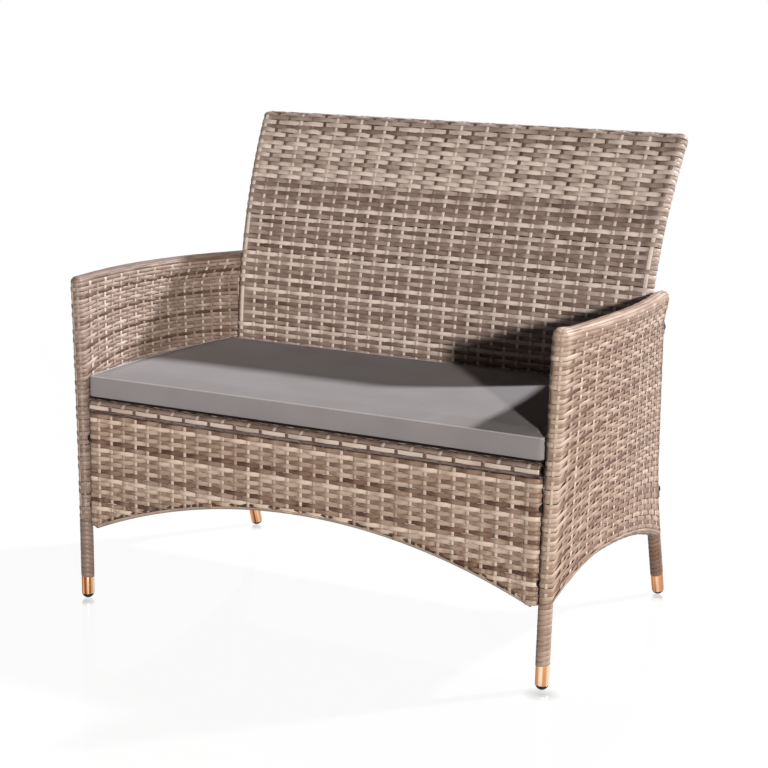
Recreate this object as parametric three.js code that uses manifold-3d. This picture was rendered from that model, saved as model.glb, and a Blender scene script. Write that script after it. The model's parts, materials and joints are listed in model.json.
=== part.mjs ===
// A two-seat garden sofa: four woven panels on bent steel tube, bolted together, with one cushion.
// Millimetres. +X runs along the seat, +Y from the front to the back, +Z up from the floor.
// While it is drawn, y is zero on the axis of the front posts. The last lines centre it on its box.

import * as THREE from 'three';
import { mergeVertices } from 'three/addons/utils/BufferGeometryUtils.js';
import Module from 'manifold-3d';

const wasm = await Module();
wasm.setup();

// Clearances
const gap = 0.3; // between pieces that touch
const overrun = 20; // how far a cutting solid runs past what it cuts

// Counts of facets and steps
const tubeSides = 8;
const roundSides = 12;
const boltSides = 8;
const ballRows = 4;
const domeSteps = 4;
const bendSteps = 3;
const kneeSteps = 4;
const armSteps = 6; // of an arm's top and of its level rail
const archSteps = 9; // of its arch
const postSteps = 4;
const armPanelSteps = [6, 3];
const backLowSteps = 2;
const backPanelSteps = [1, 7];
const apronSteps = 10;
const cushionRows = [10, 8, 6]; // of the cover's outside
const foamRows = [6, 8, 6]; // of the foam, and of the cover's inside

// Widths, from the middle of the sofa
const seatHalf = 436; // half the length of the front rail with its winding
const postSet = 14; // from the front rail's end to the axis of a front post, at the foot
const rearFootSet = 10; // how much further in the rear feet stand
const rearTopSet = 3; // how much further out a rear post is at the arm than at the foot
const backSideGap = 1; // from the back to the rear posts

// Places of the four posts, on their axes
const frontPostX = seatHalf + postSet;
const rearFootX = frontPostX - rearFootSet;
const rearTopX = rearFootX + rearTopSet;
const armLean = 14.7; // how far a front post leans outwards at the arm
const leanPower = 1.6; // how late on the way up it leans
const armBow = 22.5; // how far an arm bows outwards half-way from its front post to its rear post
const rearBendY = 495.5; // the bend of a rear leg, in depth
const rearBendZ = 220; // and in height
const rearBendReach = 60; // half the height over which it is bent
const upperRunShare = 0.045; // depth lost above the bend, of the height climbed
const lowerRunShare = 0.33; // and below it

// Steel tube
const frameTubeR = 9.5;
const lightTubeR = 8;
const railTubeR = 7;
const barTubeR = 6;
const tubeWall = 1.2;

// Woven skins: outer radii round the tubes, half thicknesses of the panels, and the strand's depth
const legWrapR = 12;
const armWrapR = 13;
const archWrapR = 12;
const armPanelHalf = 11.5;
const backWrapR = 12.5;
const backPanelHalf = 11;
const rollWrapR = 11.2;
const apronWrapR = 10;
const strand = 2.3;

// Arm
const armTop = 593;
const armFall = 13; // how much lower the arm's top is at its rear end
const armBendR = 14; // the bend from the post into the arm, on the axis
const armNoseR = 13.6; // the wound knob over that bend
const armTailY = 503; // centre of the arm's rounded rear end
const armLowEdge = 139; // where the panel ends on the front leg
const armRearDrop = 18; // how much lower it ends on the rear leg
const armArchRise = 53; // how far the lower edge arches up from the front leg
const armArchPeakY = 178; // where it is highest
const armRailZ = 360; // the level rail inside the arm

// Feet
const glideDomeR = 11;
const glideDomeCentre = 9.5; // height of the dome's centre along the leg
const glideFlange = 8.6; // where the dome ends and the stem starts
const glideStem = 22;
const sleeveTop = 44.5;
const sleeveWall = 1.7;

// Back
const backTop = 851;
const backLowEdge = 195;
const backY = 473.5; // depth of the panel's middle where its curve starts
const backCurveZ = 400; // the height where it starts
const backCurveR = 850;
const backHalfLow = rearFootX - armWrapR - backSideGap; // half the width at the curve's start
const backFlare = 18; // how much wider each side is at the top
const flarePower = 1.8;
const backBendR = 16; // the top corners, on the axis
const backFootRailZ = backLowEdge + backWrapR;
const stileShare = 0.34; // place of the two upright bars, of the half width

// Seat
const seatRailZ = 360;
const apronY = 2; // depth of the front rail's and the apron's axes
const railEndInset = 1; // how much shorter the rail is than its winding
const deckThickness = 2.5;
const deckSideGap = 2; // from the deck's edges to the arms and the back
const deckFrontSet = 7; // from the front rail's axis to the deck's front edge
const crossBarShares = [-0.5, 0, 0.5]; // places of the three bars, of the side rails' half distance
const sideRailInset = 3; // from the deck's edge to the side rail

// Apron
const apronArchTop = 222;
const apronArchEnd = 131;
const apronBendR = 12;
const apronSheet = 2.6;
const apronRecess = 0.8; // the sheet lies this far behind the front of the wound tubes

// Bolts
const boltR = 3;
const boltHoleR = boltR + gap;
const boltHeadR = 6;
const boltHeadHeight = 4.5;
const boltPast = 5; // how far a bolt reaches past the axis or wall that it enters
const capHeadR = 8;
const capHeadHeight = 7;
const frontBoltZ = [301, 178];
const rearBoltZ = [515, 206];
const boltLevels = ['upper', 'lower'];
const boltDomeShares = [[0.5, 0.9], [0.85, 0.6]]; // of the head's radius and of its height
const seatBoltSet = 136; // how far in from the front rail's end the seat's rear bolts are
const spacerR = 8;
const lugPlate = 3;
const lugHeight = 22;
const lugPast = 9; // how far the lug's plate reaches past the bolt
const stubHalf = 7;
const stubHeight = 16;

// Cushion
const cushionThick = 45;
const cushionCrown = 6;
const cushionFront = -7;
const cushionRearGap = 4; // to the back
const cushionSideGap = 1.5; // to the arms
const cushionEdgeR = 9;
const cushionEdgeShares = [0, 0.35, 1]; // places of the points that round an edge, of its radius
const cushionDrawn = 3; // how far the sides are drawn in between the corners
const coverThick = 1.6;
const zipSet = 113; // from the cushion's side to the end of the zip
const zipHeight = 5;

// Colours, roughness and metalness
const weaveLook = { color: 0x9c8675, roughness: 0.55, metalness: 0 };
const rollLook = { color: 0x8a7464, roughness: 0.55, metalness: 0 };
const steelLook = { color: 0x4a3a30, roughness: 0.45, metalness: 0.6 };
const copperLook = { color: 0xc98a5c, roughness: 0.25, metalness: 1 };
const blackLook = { color: 0x141416, roughness: 0.4, metalness: 0 };
const coverLook = { color: 0x6e6c6f, roughness: 0.9, metalness: 0 };
const foamLook = { color: 0xe6dfcf, roughness: 1, metalness: 0 };

const sofa = new THREE.Group();
const sides = [['left', -1], ['right', 1]];
const xAxis = new THREE.Vector3(1, 0, 0);
const yAxis = new THREE.Vector3(0, 1, 0);
const point = (x, y, z) => new THREE.Vector3(x, y, z);

function add(name, geometry, look) {
  const mesh = new THREE.Mesh(geometry, new THREE.MeshStandardMaterial(look));
  mesh.name = name;
  sofa.add(mesh);
}

// A closed geometry from points and triangles, turned so that its faces point outwards.
function closedGeometry(positions, index) {
  let volume = 0;
  const corner = (k) => new THREE.Vector3().fromArray(positions, 3 * k);
  for (let i = 0; i < index.length; i += 3) {
    const [a, b, c] = [corner(index[i]), corner(index[i + 1]), corner(index[i + 2])];
    volume += a.dot(b.cross(c));
  }
  const faces = volume < 0 ? Array.from(index).reverse() : Array.from(index);
  const geometry = new THREE.BufferGeometry();
  geometry.setAttribute('position', new THREE.Float32BufferAttribute(positions, 3));
  geometry.setIndex(faces);
  geometry.computeVertexNormals();
  return geometry;
}

// Any closed geometry as a solid that can be joined and cut.
function toSolid(geometry) {
  const bare = geometry.clone();
  bare.deleteAttribute('normal');
  bare.deleteAttribute('uv');
  const merged = mergeVertices(bare);
  const closed = closedGeometry(merged.attributes.position.array, merged.index.array);
  return new wasm.Manifold(new wasm.Mesh({
    numProp: 3,
    vertProperties: new Float32Array(closed.attributes.position.array),
    triVerts: new Uint32Array(closed.index.array),
  }));
}

function toGeometry(solid) {
  const mesh = solid.getMesh();
  return closedGeometry(mesh.vertProperties, mesh.triVerts);
}

const join = (solids) => solids.reduce((whole, next) => whole.add(next));
const cut = (solid, cutters) => cutters.reduce((rest, next) => rest.subtract(next), solid);

// A path through chosen points, on which an extrusion puts one section at each point.
class PointPath extends THREE.Curve {
  constructor(points) {
    super();
    this.points = points;
  }

  getPointAt(t, target = new THREE.Vector3()) {
    const last = this.points.length - 1;
    return target.copy(this.points[Math.min(Math.round(t * last), last)]);
  }

  getTangentAt(t, target = new THREE.Vector3()) {
    const last = this.points.length - 1;
    const i = Math.min(Math.round(t * last), last);
    target.set(0, 0, 0);
    if (i > 0) target.add(this.points[i].clone().sub(this.points[i - 1]).normalize());
    if (i < last) target.add(this.points[i + 1].clone().sub(this.points[i]).normalize());
    return target.normalize();
  }
}

function ring(radius, outline) {
  const corners = [];
  for (let i = 0; i < tubeSides; i += 1) {
    const angle = (2 * Math.PI * i) / tubeSides;
    corners.push(new THREE.Vector2(radius * Math.cos(angle), radius * Math.sin(angle)));
  }
  return outline.setFromPoints(corners);
}

function swept(points, shape) {
  return new THREE.ExtrudeGeometry(shape, {
    steps: points.length - 1,
    extrudePath: new PointPath(points),
    bevelEnabled: false,
  });
}

// How far the flat sides of a tube's section lie from its axis.
const flatsOf = (radius) => radius * Math.cos(Math.PI / tubeSides);

const rod = (points, radius) => toSolid(swept(points, ring(radius, new THREE.Shape())));

function pipe(points, radius, wall) {
  const shape = ring(radius, new THREE.Shape());
  shape.holes.push(ring(radius - wall, new THREE.Path()));
  return toSolid(swept(points, shape));
}

// The points of an arc of the given radius that rounds a corner of a path.
function bend(before, corner, after, radius) {
  const a = before.clone().sub(corner).normalize();
  const b = after.clone().sub(corner).normalize();
  const half = a.angleTo(b) / 2;
  const reach = radius / Math.tan(half);
  const inwards = a.clone().add(b).normalize();
  const centre = corner.clone().addScaledVector(inwards, radius / Math.sin(half));
  const start = corner.clone().addScaledVector(a, reach).sub(centre);
  const end = corner.clone().addScaledVector(b, reach).sub(centre);
  const turn = start.angleTo(end);
  const points = [];
  for (let i = 0; i <= bendSteps; i += 1) {
    const share = i / bendSteps;
    const arm = start.clone().multiplyScalar(Math.sin((1 - share) * turn) / Math.sin(turn));
    arm.addScaledVector(end, Math.sin(share * turn) / Math.sin(turn));
    points.push(arm.add(centre));
  }
  return points;
}

// Evenly spaced values from one to another, both included.
function steps(from, to, count) {
  return Array.from({ length: count + 1 }, (_, i) => from + ((to - from) * i) / count);
}

// A sheet that follows a surface of two shares, between two depths along the surface's own way across.
function sheet(surface, across, low, high, nu, nv) {
  const positions = [];
  for (const depth of [low, high]) {
    for (let j = 0; j <= nv; j += 1) {
      for (let i = 0; i <= nu; i += 1) {
        const place = surface(i / nu, j / nv).addScaledVector(across(i / nu, j / nv), depth);
        positions.push(place.x, place.y, place.z);
      }
    }
  }
  const row = nu + 1;
  const layer = row * (nv + 1);
  const index = [];
  const quad = (a, b, c, d) => index.push(a, b, c, a, c, d);
  for (let j = 0; j < nv; j += 1) {
    for (let i = 0; i < nu; i += 1) {
      const a = j * row + i;
      quad(a, a + row, a + row + 1, a + 1);
      quad(layer + a, layer + a + 1, layer + a + row + 1, layer + a + row);
    }
    const [first, last] = [j * row, j * row + nu];
    quad(first, layer + first, layer + first + row, first + row);
    quad(last, last + row, layer + last + row, layer + last);
  }
  for (let i = 0; i < nu; i += 1) {
    const far = nv * row + i;
    quad(i, i + 1, layer + i + 1, layer + i);
    quad(far, layer + far, layer + far + 1, far + 1);
  }
  return toSolid(closedGeometry(positions, index));
}

// Turns a geometry whose own axis is +Y to another way and puts its origin in place.
function aim(geometry, place, way) {
  const turn = new THREE.Quaternion().setFromUnitVectors(yAxis, way);
  return geometry.applyQuaternion(turn).translate(place.x, place.y, place.z);
}

function lathed(profile, place, way, sideCount) {
  const corners = profile.map(([r, h]) => new THREE.Vector2(r, h));
  return toSolid(aim(new THREE.LatheGeometry(corners, sideCount), place, way));
}

function ball(place, radius) {
  const sphere = new THREE.SphereGeometry(radius, tubeSides, ballRows);
  return toSolid(sphere.translate(place.x, place.y, place.z));
}

// Outlines of the arms
const leanAt = (z) => armLean * (Math.max(z, 0) / armTop) ** leanPower;
const frontX = (z) => frontPostX + leanAt(z);
const rearX = (z) => rearFootX + ((rearTopX - rearFootX) * z) / armTop;

// Depth of a rear leg's axis: two straight runs joined by a parabola.
function rearLegY(z) {
  const below = rearBendZ - z;
  let bent = Math.max(below, 0);
  if (Math.abs(below) < rearBendReach) bent = (below + rearBendReach) ** 2 / (4 * rearBendReach);
  return rearBendY + upperRunShare * below + (lowerRunShare - upperRunShare) * bent;
}

// An arm's middle: straight from post to post, bowed outwards by a parabola between them.
function armX(y, z) {
  const share = y / rearLegY(z);
  const between = THREE.MathUtils.clamp(share, 0, 1);
  return THREE.MathUtils.lerp(frontX(z), rearX(z), share) + armBow * 4 * between * (1 - between);
}

const armAxisZ = (y) => armTop - armWrapR - armFall * (y / armTailY) ** 2;

// Height of the arch's axis: a parabola to the front of its peak and another behind it.
function armArchZ(y) {
  const peak = armLowEdge + archWrapR + armArchRise;
  if (y < armArchPeakY) return peak - armArchRise * (1 - y / armArchPeakY) ** 2;
  const reach = rearLegY(armLowEdge) - armArchPeakY;
  return peak - (armArchRise + armRearDrop) * ((y - armArchPeakY) / reach) ** 2;
}

const armPoint = (side, y, z) => point(side * armX(y, z), y, z);

// The front post and the arm are one bent tube.
function armHoopPath(side, lowZ) {
  const corner = armPoint(side, 0, armAxisZ(0));
  const below = armPoint(side, 0, armAxisZ(0) - 2 * armBendR);
  const behind = armPoint(side, 2 * armBendR, armAxisZ(2 * armBendR));
  const arc = bend(below, corner, behind, armBendR);
  const post = steps(lowZ, arc[0].z, postSteps).slice(0, -1).map((z) => armPoint(side, 0, z));
  const rail = [...steps(arc.at(-1).y, rearLegY(armTop), armSteps), armTailY].slice(1);
  return [...post, ...arc, ...rail.map((y) => armPoint(side, y, armAxisZ(y)))];
}

function rearLegPath(side, lowZ, highZ) {
  const straight = [lowZ, (lowZ + rearBendZ - rearBendReach) / 2];
  const bent = steps(rearBendZ - rearBendReach, rearBendZ + rearBendReach, kneeSteps);
  const levels = [...straight, ...bent, ...steps(bent.at(-1), highZ, 2).slice(1)];
  return levels.filter((z) => z >= lowZ).map((z) => point(side * rearX(z), rearLegY(z), z));
}

function armRailPath(side, height, count) {
  const to = rearLegY(height(rearLegY(armLowEdge)));
  return steps(0, to, count).map((y) => armPoint(side, y, height(y)));
}

function armSurface(side) {
  return (u, v) => {
    const near = u * rearLegY(THREE.MathUtils.lerp(armLowEdge, armTop, v));
    const z = THREE.MathUtils.lerp(armArchZ(near), armAxisZ(near), v);
    return armPoint(side, u * rearLegY(z), z);
  };
}

const legTubeLow = glideFlange + gap;
const rearPostTop = armAxisZ(rearLegY(armTop) + frameTubeR) - frameTubeR * (1 + upperRunShare) - gap;

// Outlines of the back
const backDrift = (z) => rearLegY(z) - rearLegY(backCurveZ);

function backAxisY(z) {
  if (z < backCurveZ) return backY + backDrift(z);
  return backY + backCurveR - Math.sqrt(backCurveR ** 2 - (z - backCurveZ) ** 2);
}

function backHalf(z) {
  const share = Math.max(z - backCurveZ, 0) / (backTop - backCurveZ);
  return backHalfLow + backFlare * share ** flarePower;
}

const backAxisX = (z) => backHalf(z) - backWrapR;
const backPoint = (share, z) => point(share * backAxisX(z), backAxisY(z), z);
const backTopAxisZ = backTop - backWrapR;

// The back's bent tube; its two ends reach past the low edge by the given length.
function backHoopPath(past) {
  const half = (side) => {
    const corner = backPoint(side, backTopAxisZ);
    const below = backPoint(side, backTopAxisZ - 2 * backBendR);
    const arc = bend(below, corner, backPoint(0, backTopAxisZ), backBendR);
    const lower = steps(backLowEdge, backCurveZ, backLowSteps).slice(0, -1);
    const upper = steps(backCurveZ, arc[0].z, postSteps).slice(0, -1);
    const upright = [...lower, ...upper].map((z) => backPoint(side, z));
    const down = upright[0].clone().sub(upright[1]).normalize();
    upright[0].addScaledVector(down, past);
    return [...upright, ...arc];
  };
  return [...half(-1), ...half(1).reverse()];
}

function backNormal(z) {
  const up = backPoint(0, z + strand).sub(backPoint(0, z - strand)).normalize();
  return xAxis.clone().cross(up).negate();
}

const backLevel = (v) => THREE.MathUtils.lerp(backFootRailZ, backTopAxisZ, v);
const backSurface = (u, v) => backPoint(2 * u - 1, backLevel(v));
const backAcross = (u, v) => backNormal(backLevel(v));

function backRailPath(z, radius) {
  const reach = 1 - (radius + gap) / backAxisX(z);
  return [backPoint(-reach, z), backPoint(reach, z)];
}

// Outlines of the seat and the apron
const rearRailY = backAxisY(seatRailZ + frameTubeR) - backWrapR - gap - frameTubeR;
const deckZ = seatRailZ + frameTubeR + gap;
const deckFrontY = apronY + deckFrontSet;
const deckRearY = backAxisY(deckZ) - backWrapR - deckSideGap;
const deckHalf = (y) => Math.min(seatHalf, armX(y, deckZ) - armWrapR) - deckSideGap;
const apronTop = seatRailZ - rollWrapR - gap;
const apronAxisX = seatHalf - apronWrapR;
const apronRise = apronArchTop - apronArchEnd;
const apronArchR = (seatHalf ** 2 + apronRise ** 2) / (2 * apronRise);

function apronArchZ(x) {
  return apronArchTop + apronWrapR - apronArchR + Math.sqrt(apronArchR ** 2 - x ** 2);
}

function apronHoopPath() {
  const arch = steps(-apronAxisX, apronAxisX, apronSteps).map((x) => point(x, apronY, apronArchZ(x)));
  const corner = (end, inner) => bend(point(end.x, apronY, apronTop), end, inner, apronBendR);
  const [first, last] = [arch[0], arch.at(-1)];
  return [
    point(first.x, apronY, apronTop),
    ...corner(first, arch[1]),
    ...arch.slice(1, -1),
    ...corner(last, arch.at(-2)).reverse(),
    point(last.x, apronY, apronTop),
  ];
}

// A bolt: its bearing face lies at the place, its shaft runs along the way.
function bolt(place, way, length, headR, headHeight) {
  const dome = boltDomeShares.map(([r, h]) => [r * headR, -h * headHeight]);
  const shaft = [[boltR, 0], [boltR, length], [0, length]];
  return lathed([[0, -headHeight], ...dome, [headR, 0], ...shaft], place, way, boltSides);
}

function drill(place, way, length) {
  const profile = [[0, -overrun], [boltHoleR, -overrun], [boltHoleR, length], [0, length]];
  return lathed(profile, place, way, boltSides);
}

// Front bolts run outwards from the apron's side tube, through a spacer, into the front post.
function frontBolts(side) {
  return frontBoltZ.map((z, level) => {
    const from = apronAxisX - apronWrapR - gap;
    const to = armX(apronY, z) + boltPast;
    const way = point(side, 0, 0);
    const start = point(side * from, apronY, z);
    const spacerAt = point(side * (seatHalf + gap), apronY, z);
    const spacerThick = armX(0, z - spacerR) - armWrapR - seatHalf - 2 * gap;
    return { level: boltLevels[level], start, way, length: to - from, spacerAt, spacerThick };
  });
}

// Rear bolts run forwards through a lug of the back frame into the rear post.
function rearBolts(side) {
  return rearBoltZ.map((z, level) => {
    const slope = (rearLegY(z + rearBendReach / 2) - rearLegY(z - rearBendReach / 2)) / rearBendReach;
    const tilt = Math.atan(slope);
    const outwards = point(0, Math.cos(tilt), -Math.sin(tilt));
    const axis = point(side * rearX(z), rearLegY(z), z);
    const seatAt = armWrapR + gap + lugPlate + gap;
    const start = axis.clone().addScaledVector(outwards, seatAt);
    const way = outwards.clone().negate();
    return { level: boltLevels[level], start, way, length: seatAt - boltPast, axis, tilt, side, z };
  });
}

// The lug: a plate behind the rear post and a stub that reaches forwards to the back's side tube.
function lugBlock({ axis, tilt, side, z }, grow) {
  const inner = side * (backAxisX(z) - stubHalf) - axis.x;
  const outer = side * lugPast;
  const plateFront = armWrapR + gap;
  const stubFront = (backAxisY(z) - rearLegY(z)) * Math.cos(tilt) + frameTubeR / 2;
  const block = (x0, x1, y0, y1, height) => {
    const size = [Math.abs(x1 - x0) + 2 * grow, y1 - y0 + 2 * grow, height + 2 * grow];
    const box = new THREE.BoxGeometry(...size).translate((x0 + x1) / 2, (y0 + y1) / 2, 0);
    return toSolid(box.rotateX(-tilt).translate(axis.x, axis.y, axis.z));
  };
  const plate = block(inner, outer, plateFront, plateFront + lugPlate, lugHeight);
  const stub = block(inner, inner + side * 2 * stubHalf, stubFront, plateFront + lugPlate, stubHeight);
  return plate.add(stub);
}

const backBolts = [-1, 1].map((side) => {
  const from = rearRailY - frameTubeR - gap;
  const length = backAxisY(seatRailZ) + boltPast / 2 - from;
  return { start: point(side * (seatHalf - seatBoltSet), from, seatRailZ), way: yAxis, length };
});

const drills = (bolts) => bolts.map(({ start, way, length }) => drill(start, way, length + overrun));
const shallowDrills = (bolts) => bolts.map(({ start, way, length }) => drill(start, way, length + gap));

// Arms
function glide(side, path) {
  const way = path[1].clone().sub(path[0]).normalize();
  const foot = path[0].clone().addScaledVector(way, -path[0].z / way.z);
  const last = Math.asin((glideFlange - glideDomeCentre) / glideDomeR);
  const dome = steps(-Math.PI / 2, last, domeSteps);
  const round = dome.map((a) => [glideDomeR * Math.cos(a), glideDomeCentre + glideDomeR * Math.sin(a)]);
  round[0][0] = 0;
  const stemR = flatsOf(frameTubeR - tubeWall) - gap;
  const profile = [...round, [stemR, glideFlange], [stemR, glideStem], [0, glideStem]];
  const floorSize = 4 * glideDomeR;
  const floor = new THREE.BoxGeometry(floorSize, floorSize, floorSize);
  floor.translate(foot.x, foot.y, -floorSize / 2);
  return cut(lathed(profile, foot, way, roundSides), [toSolid(floor)]);
}

function foot(side, path) {
  const way = path[1].clone().sub(path[0]).normalize();
  const top = path[0].clone().addScaledVector(way, (sleeveTop - legTubeLow) / way.z);
  return pipe([path[0], top], frameTubeR + gap + sleeveWall, sleeveWall);
}

function buildArm(name, side) {
  const hoop = armHoopPath(side, legTubeLow);
  const rear = rearLegPath(side, legTubeLow, rearPostTop);
  const arch = armRailPath(side, armArchZ, archSteps);
  const level = armRailPath(side, () => armRailZ, armSteps);
  const across = () => xAxis;
  const surface = armSurface(side);
  const rearLowEdge = armLowEdge - armRearDrop;
  const winding = (edge, axisAt) => {
    return rod(steps(sleeveTop + gap, edge + armWrapR, 2).map(axisAt), legWrapR);
  };
  const outside = join([
    rod(armHoopPath(side, armLowEdge), armWrapR),
    rod(rearLegPath(side, rearLowEdge, armAxisZ(armTailY)), armWrapR),
    winding(armLowEdge, (z) => armPoint(side, 0, z)),
    winding(rearLowEdge, (z) => point(side * rearX(z), rearLegY(z), z)),
    rod(arch, archWrapR),
    sheet(surface, across, -armPanelHalf, armPanelHalf, ...armPanelSteps),
    ball(hoop.at(-1), armWrapR),
    ball(armPoint(side, gap, armAxisZ(0)), armNoseR),
  ]);
  const rearSpace = rearLegPath(side, legTubeLow, armAxisZ(armTailY));
  const uprights = [hoop, rearSpace].map((path) => rod(path, frameTubeR + gap));
  const inside = join([
    ...uprights,
    rod(arch, lightTubeR + gap),
    sheet(surface, across, strand - armPanelHalf, armPanelHalf - strand, ...armPanelSteps),
  ]);
  const holes = [...shallowDrills(frontBolts(side)), ...shallowDrills(rearBolts(side))];
  add(`${name}_arm_hoop_tube`, toGeometry(cut(pipe(hoop, frameTubeR, tubeWall), holes)), steelLook);
  add(`${name}_rear_leg_tube`, toGeometry(cut(pipe(rear, frameTubeR, tubeWall), holes)), steelLook);
  add(`${name}_arm_arch_rail`, toGeometry(cut(pipe(arch, lightTubeR, tubeWall), uprights)), steelLook);
  add(`${name}_arm_level_rail`, toGeometry(cut(pipe(level, barTubeR, tubeWall), uprights)), steelLook);
  add(`${name}_arm_weave`, toGeometry(cut(outside, [inside, ...holes])), weaveLook);
  for (const [place, path] of [['front', hoop], ['rear', rear]]) {
    add(`${name}_${place}_foot_sleeve`, toGeometry(foot(side, path)), copperLook);
    add(`${name}_${place}_foot_glide`, toGeometry(glide(side, path)), blackLook);
  }
}

// Back
function buildBack() {
  const hoop = backHoopPath(-gap);
  const footRail = backRailPath(backFootRailZ, frameTubeR);
  const crossRail = backRailPath(seatRailZ, frameTubeR);
  const lugBolts = sides.flatMap(([name, side]) => rearBolts(side).map((b) => ({ ...b, name })));
  const outside = join([
    rod(backHoopPath(0), backWrapR),
    rod(footRail, backWrapR),
    sheet(backSurface, backAcross, -backPanelHalf, backPanelHalf, ...backPanelSteps),
  ]);
  const inside = join([
    rod(backHoopPath(overrun), frameTubeR + gap),
    rod(footRail, lightTubeR + gap),
    sheet(backSurface, backAcross, strand - backPanelHalf, backPanelHalf - strand, ...backPanelSteps),
  ]);
  const notches = lugBolts.map((b) => lugBlock(b, gap));
  const skin = cut(outside, [inside, ...notches, ...drills(backBolts)]);
  add('back_hoop_tube', toGeometry(pipe(hoop, frameTubeR, tubeWall)), steelLook);
  add('back_foot_rail', toGeometry(pipe(footRail, lightTubeR, tubeWall)), steelLook);
  const drilled = cut(pipe(crossRail, railTubeR, tubeWall), shallowDrills(backBolts));
  add('back_cross_rail', toGeometry(drilled), steelLook);
  for (const [name, side] of sides) {
    const levels = steps(seatRailZ + railTubeR + gap, backTopAxisZ - frameTubeR - gap, postSteps);
    const stile = levels.map((z) => backPoint(side * stileShare, z));
    add(`back_${name}_stile`, toGeometry(pipe(stile, barTubeR, tubeWall)), steelLook);
  }
  add('back_weave', toGeometry(skin), weaveLook);
  const tubeSpace = rod(hoop, frameTubeR + gap);
  for (const b of lugBolts) {
    const lug = cut(lugBlock(b, 0), [tubeSpace, ...drills([b])]);
    add(`back_${b.name}_${b.level}_lug`, toGeometry(lug), blackLook);
  }
}

// Seat and apron
function buildSeat() {
  const railHalf = seatHalf - railEndInset;
  const frontRail = [point(-railHalf, apronY, seatRailZ), point(railHalf, apronY, seatRailZ)];
  const roll = [point(-seatHalf, apronY, seatRailZ), point(seatHalf, apronY, seatRailZ)];
  const rearHalf = deckHalf(rearRailY);
  const rearRail = [point(-rearHalf, rearRailY, seatRailZ), point(rearHalf, rearRailY, seatRailZ)];
  add('seat_front_rail', toGeometry(pipe(frontRail, frameTubeR, tubeWall)), steelLook);
  add('seat_front_roll', toGeometry(pipe(roll, rollWrapR, rollWrapR - frameTubeR - gap)), rollLook);
  const drilled = cut(pipe(rearRail, frameTubeR, tubeWall), drills(backBolts));
  add('seat_rear_rail', toGeometry(drilled), steelLook);
  const railFrontY = apronY + rollWrapR + gap;
  const railRearY = rearRailY - frameTubeR - gap;
  const sideX = (y) => deckHalf(y) - sideRailInset - frameTubeR;
  for (const [name, side] of sides) {
    const ends = [railFrontY, railRearY].map((y) => point(side * sideX(y), y, seatRailZ));
    add(`seat_${name}_rail`, toGeometry(pipe(ends, frameTubeR, tubeWall)), steelLook);
  }
  const barZ = seatRailZ + frameTubeR - barTubeR;
  crossBarShares.forEach((share, i) => {
    const x = share * sideX(railRearY);
    const ends = [point(x, railFrontY, barZ), point(x, railRearY, barZ)];
    add(`seat_cross_bar_${i + 1}`, toGeometry(pipe(ends, barTubeR, tubeWall)), steelLook);
  });
  const deck = (u, v) => {
    const y = THREE.MathUtils.lerp(deckFrontY, deckRearY, v);
    return point((2 * u - 1) * deckHalf(y), y, deckZ);
  };
  const up = () => point(0, 0, 1);
  add('seat_deck_weave', toGeometry(sheet(deck, up, 0, deckThickness, 1, 1)), weaveLook);
}

function buildApron() {
  const path = apronHoopPath();
  const bolts = sides.flatMap(([, side]) => frontBolts(side));
  const face = (u, v) => {
    const x = (2 * u - 1) * apronAxisX;
    return point(x, apronY, THREE.MathUtils.lerp(apronArchZ(x), apronTop, v));
  };
  const front = apronRecess - apronWrapR;
  const panel = sheet(face, () => yAxis, front, front + apronSheet, apronSteps, 1);
  const skin = cut(join([rod(path, apronWrapR), panel]), [
    rod(path, lightTubeR + gap),
    ...drills(bolts),
  ]);
  const tube = cut(pipe(path, lightTubeR, tubeWall), drills(bolts));
  add('apron_hoop_tube', toGeometry(tube), steelLook);
  add('apron_weave', toGeometry(skin), weaveLook);
}

// Cushion
const cushionLow = deckZ + deckThickness + gap;
const cushionRear = backAxisY(cushionLow) - backWrapR - cushionRearGap;
const cushionHalfAt = (y) => armX(y, cushionLow) - armWrapR - cushionSideGap;
const cushionHalf = cushionHalfAt(0);
const cushionDepth = cushionRear - cushionFront;
const cushionMiddle = [(cushionRear + cushionFront) / 2, cushionLow + cushionThick / 2];

// Places of the points along one side of a block, closer together where its edges are rounded.
function cushionTicks(half, edge, count) {
  const round = cushionEdgeShares.map((share) => half - edge * (1 - share)).slice(1);
  const flat = steps(edge - half, half - edge, count - 2 * round.length);
  return [...round.map((value) => -value).reverse(), ...flat, ...round];
}

// The cushion's shape over a rounded block: its sides follow the arms and are drawn in, its top is crowned.
function cushionShape(place, halves) {
  const [sx, sy] = [place.x / halves[0], place.y / halves[1]];
  const [midY, midZ] = cushionMiddle;
  const drawnX = 1 - (cushionDrawn / halves[0]) * (1 - sy ** 2);
  const drawnY = 1 - (cushionDrawn / halves[1]) * (1 - sx ** 2);
  const y = midY + place.y * drawnY;
  const follow = cushionHalfAt(y) / cushionHalf;
  const crown = cushionCrown * (1 - sx ** 4) * (1 - sy ** 4) * Math.max(place.z / halves[2], 0);
  return point(place.x * follow * drawnX, y, midZ + place.z + crown);
}

function cushionBlock(shrink, rows) {
  const halves = [cushionHalf, cushionDepth / 2, cushionThick / 2].map((half) => half - shrink);
  const edge = cushionEdgeR - shrink;
  const ticks = halves.map((half, i) => cushionTicks(half, edge, rows[i]));
  const high = point(...halves).subScalar(edge);
  const box = new THREE.BoxGeometry(1, 1, 1, ...rows);
  const corners = box.attributes.position;
  for (let i = 0; i < corners.count; i += 1) {
    const shares = [corners.getX(i), corners.getY(i), corners.getZ(i)];
    const place = point(...shares.map((s, k) => ticks[k][Math.round(s * rows[k] + rows[k] / 2)]));
    const core = place.clone().clamp(high.clone().negate(), high);
    const rounded = place.sub(core).setLength(edge).add(core);
    corners.setXYZ(i, ...cushionShape(rounded, halves));
  }
  return toSolid(box);
}

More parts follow.
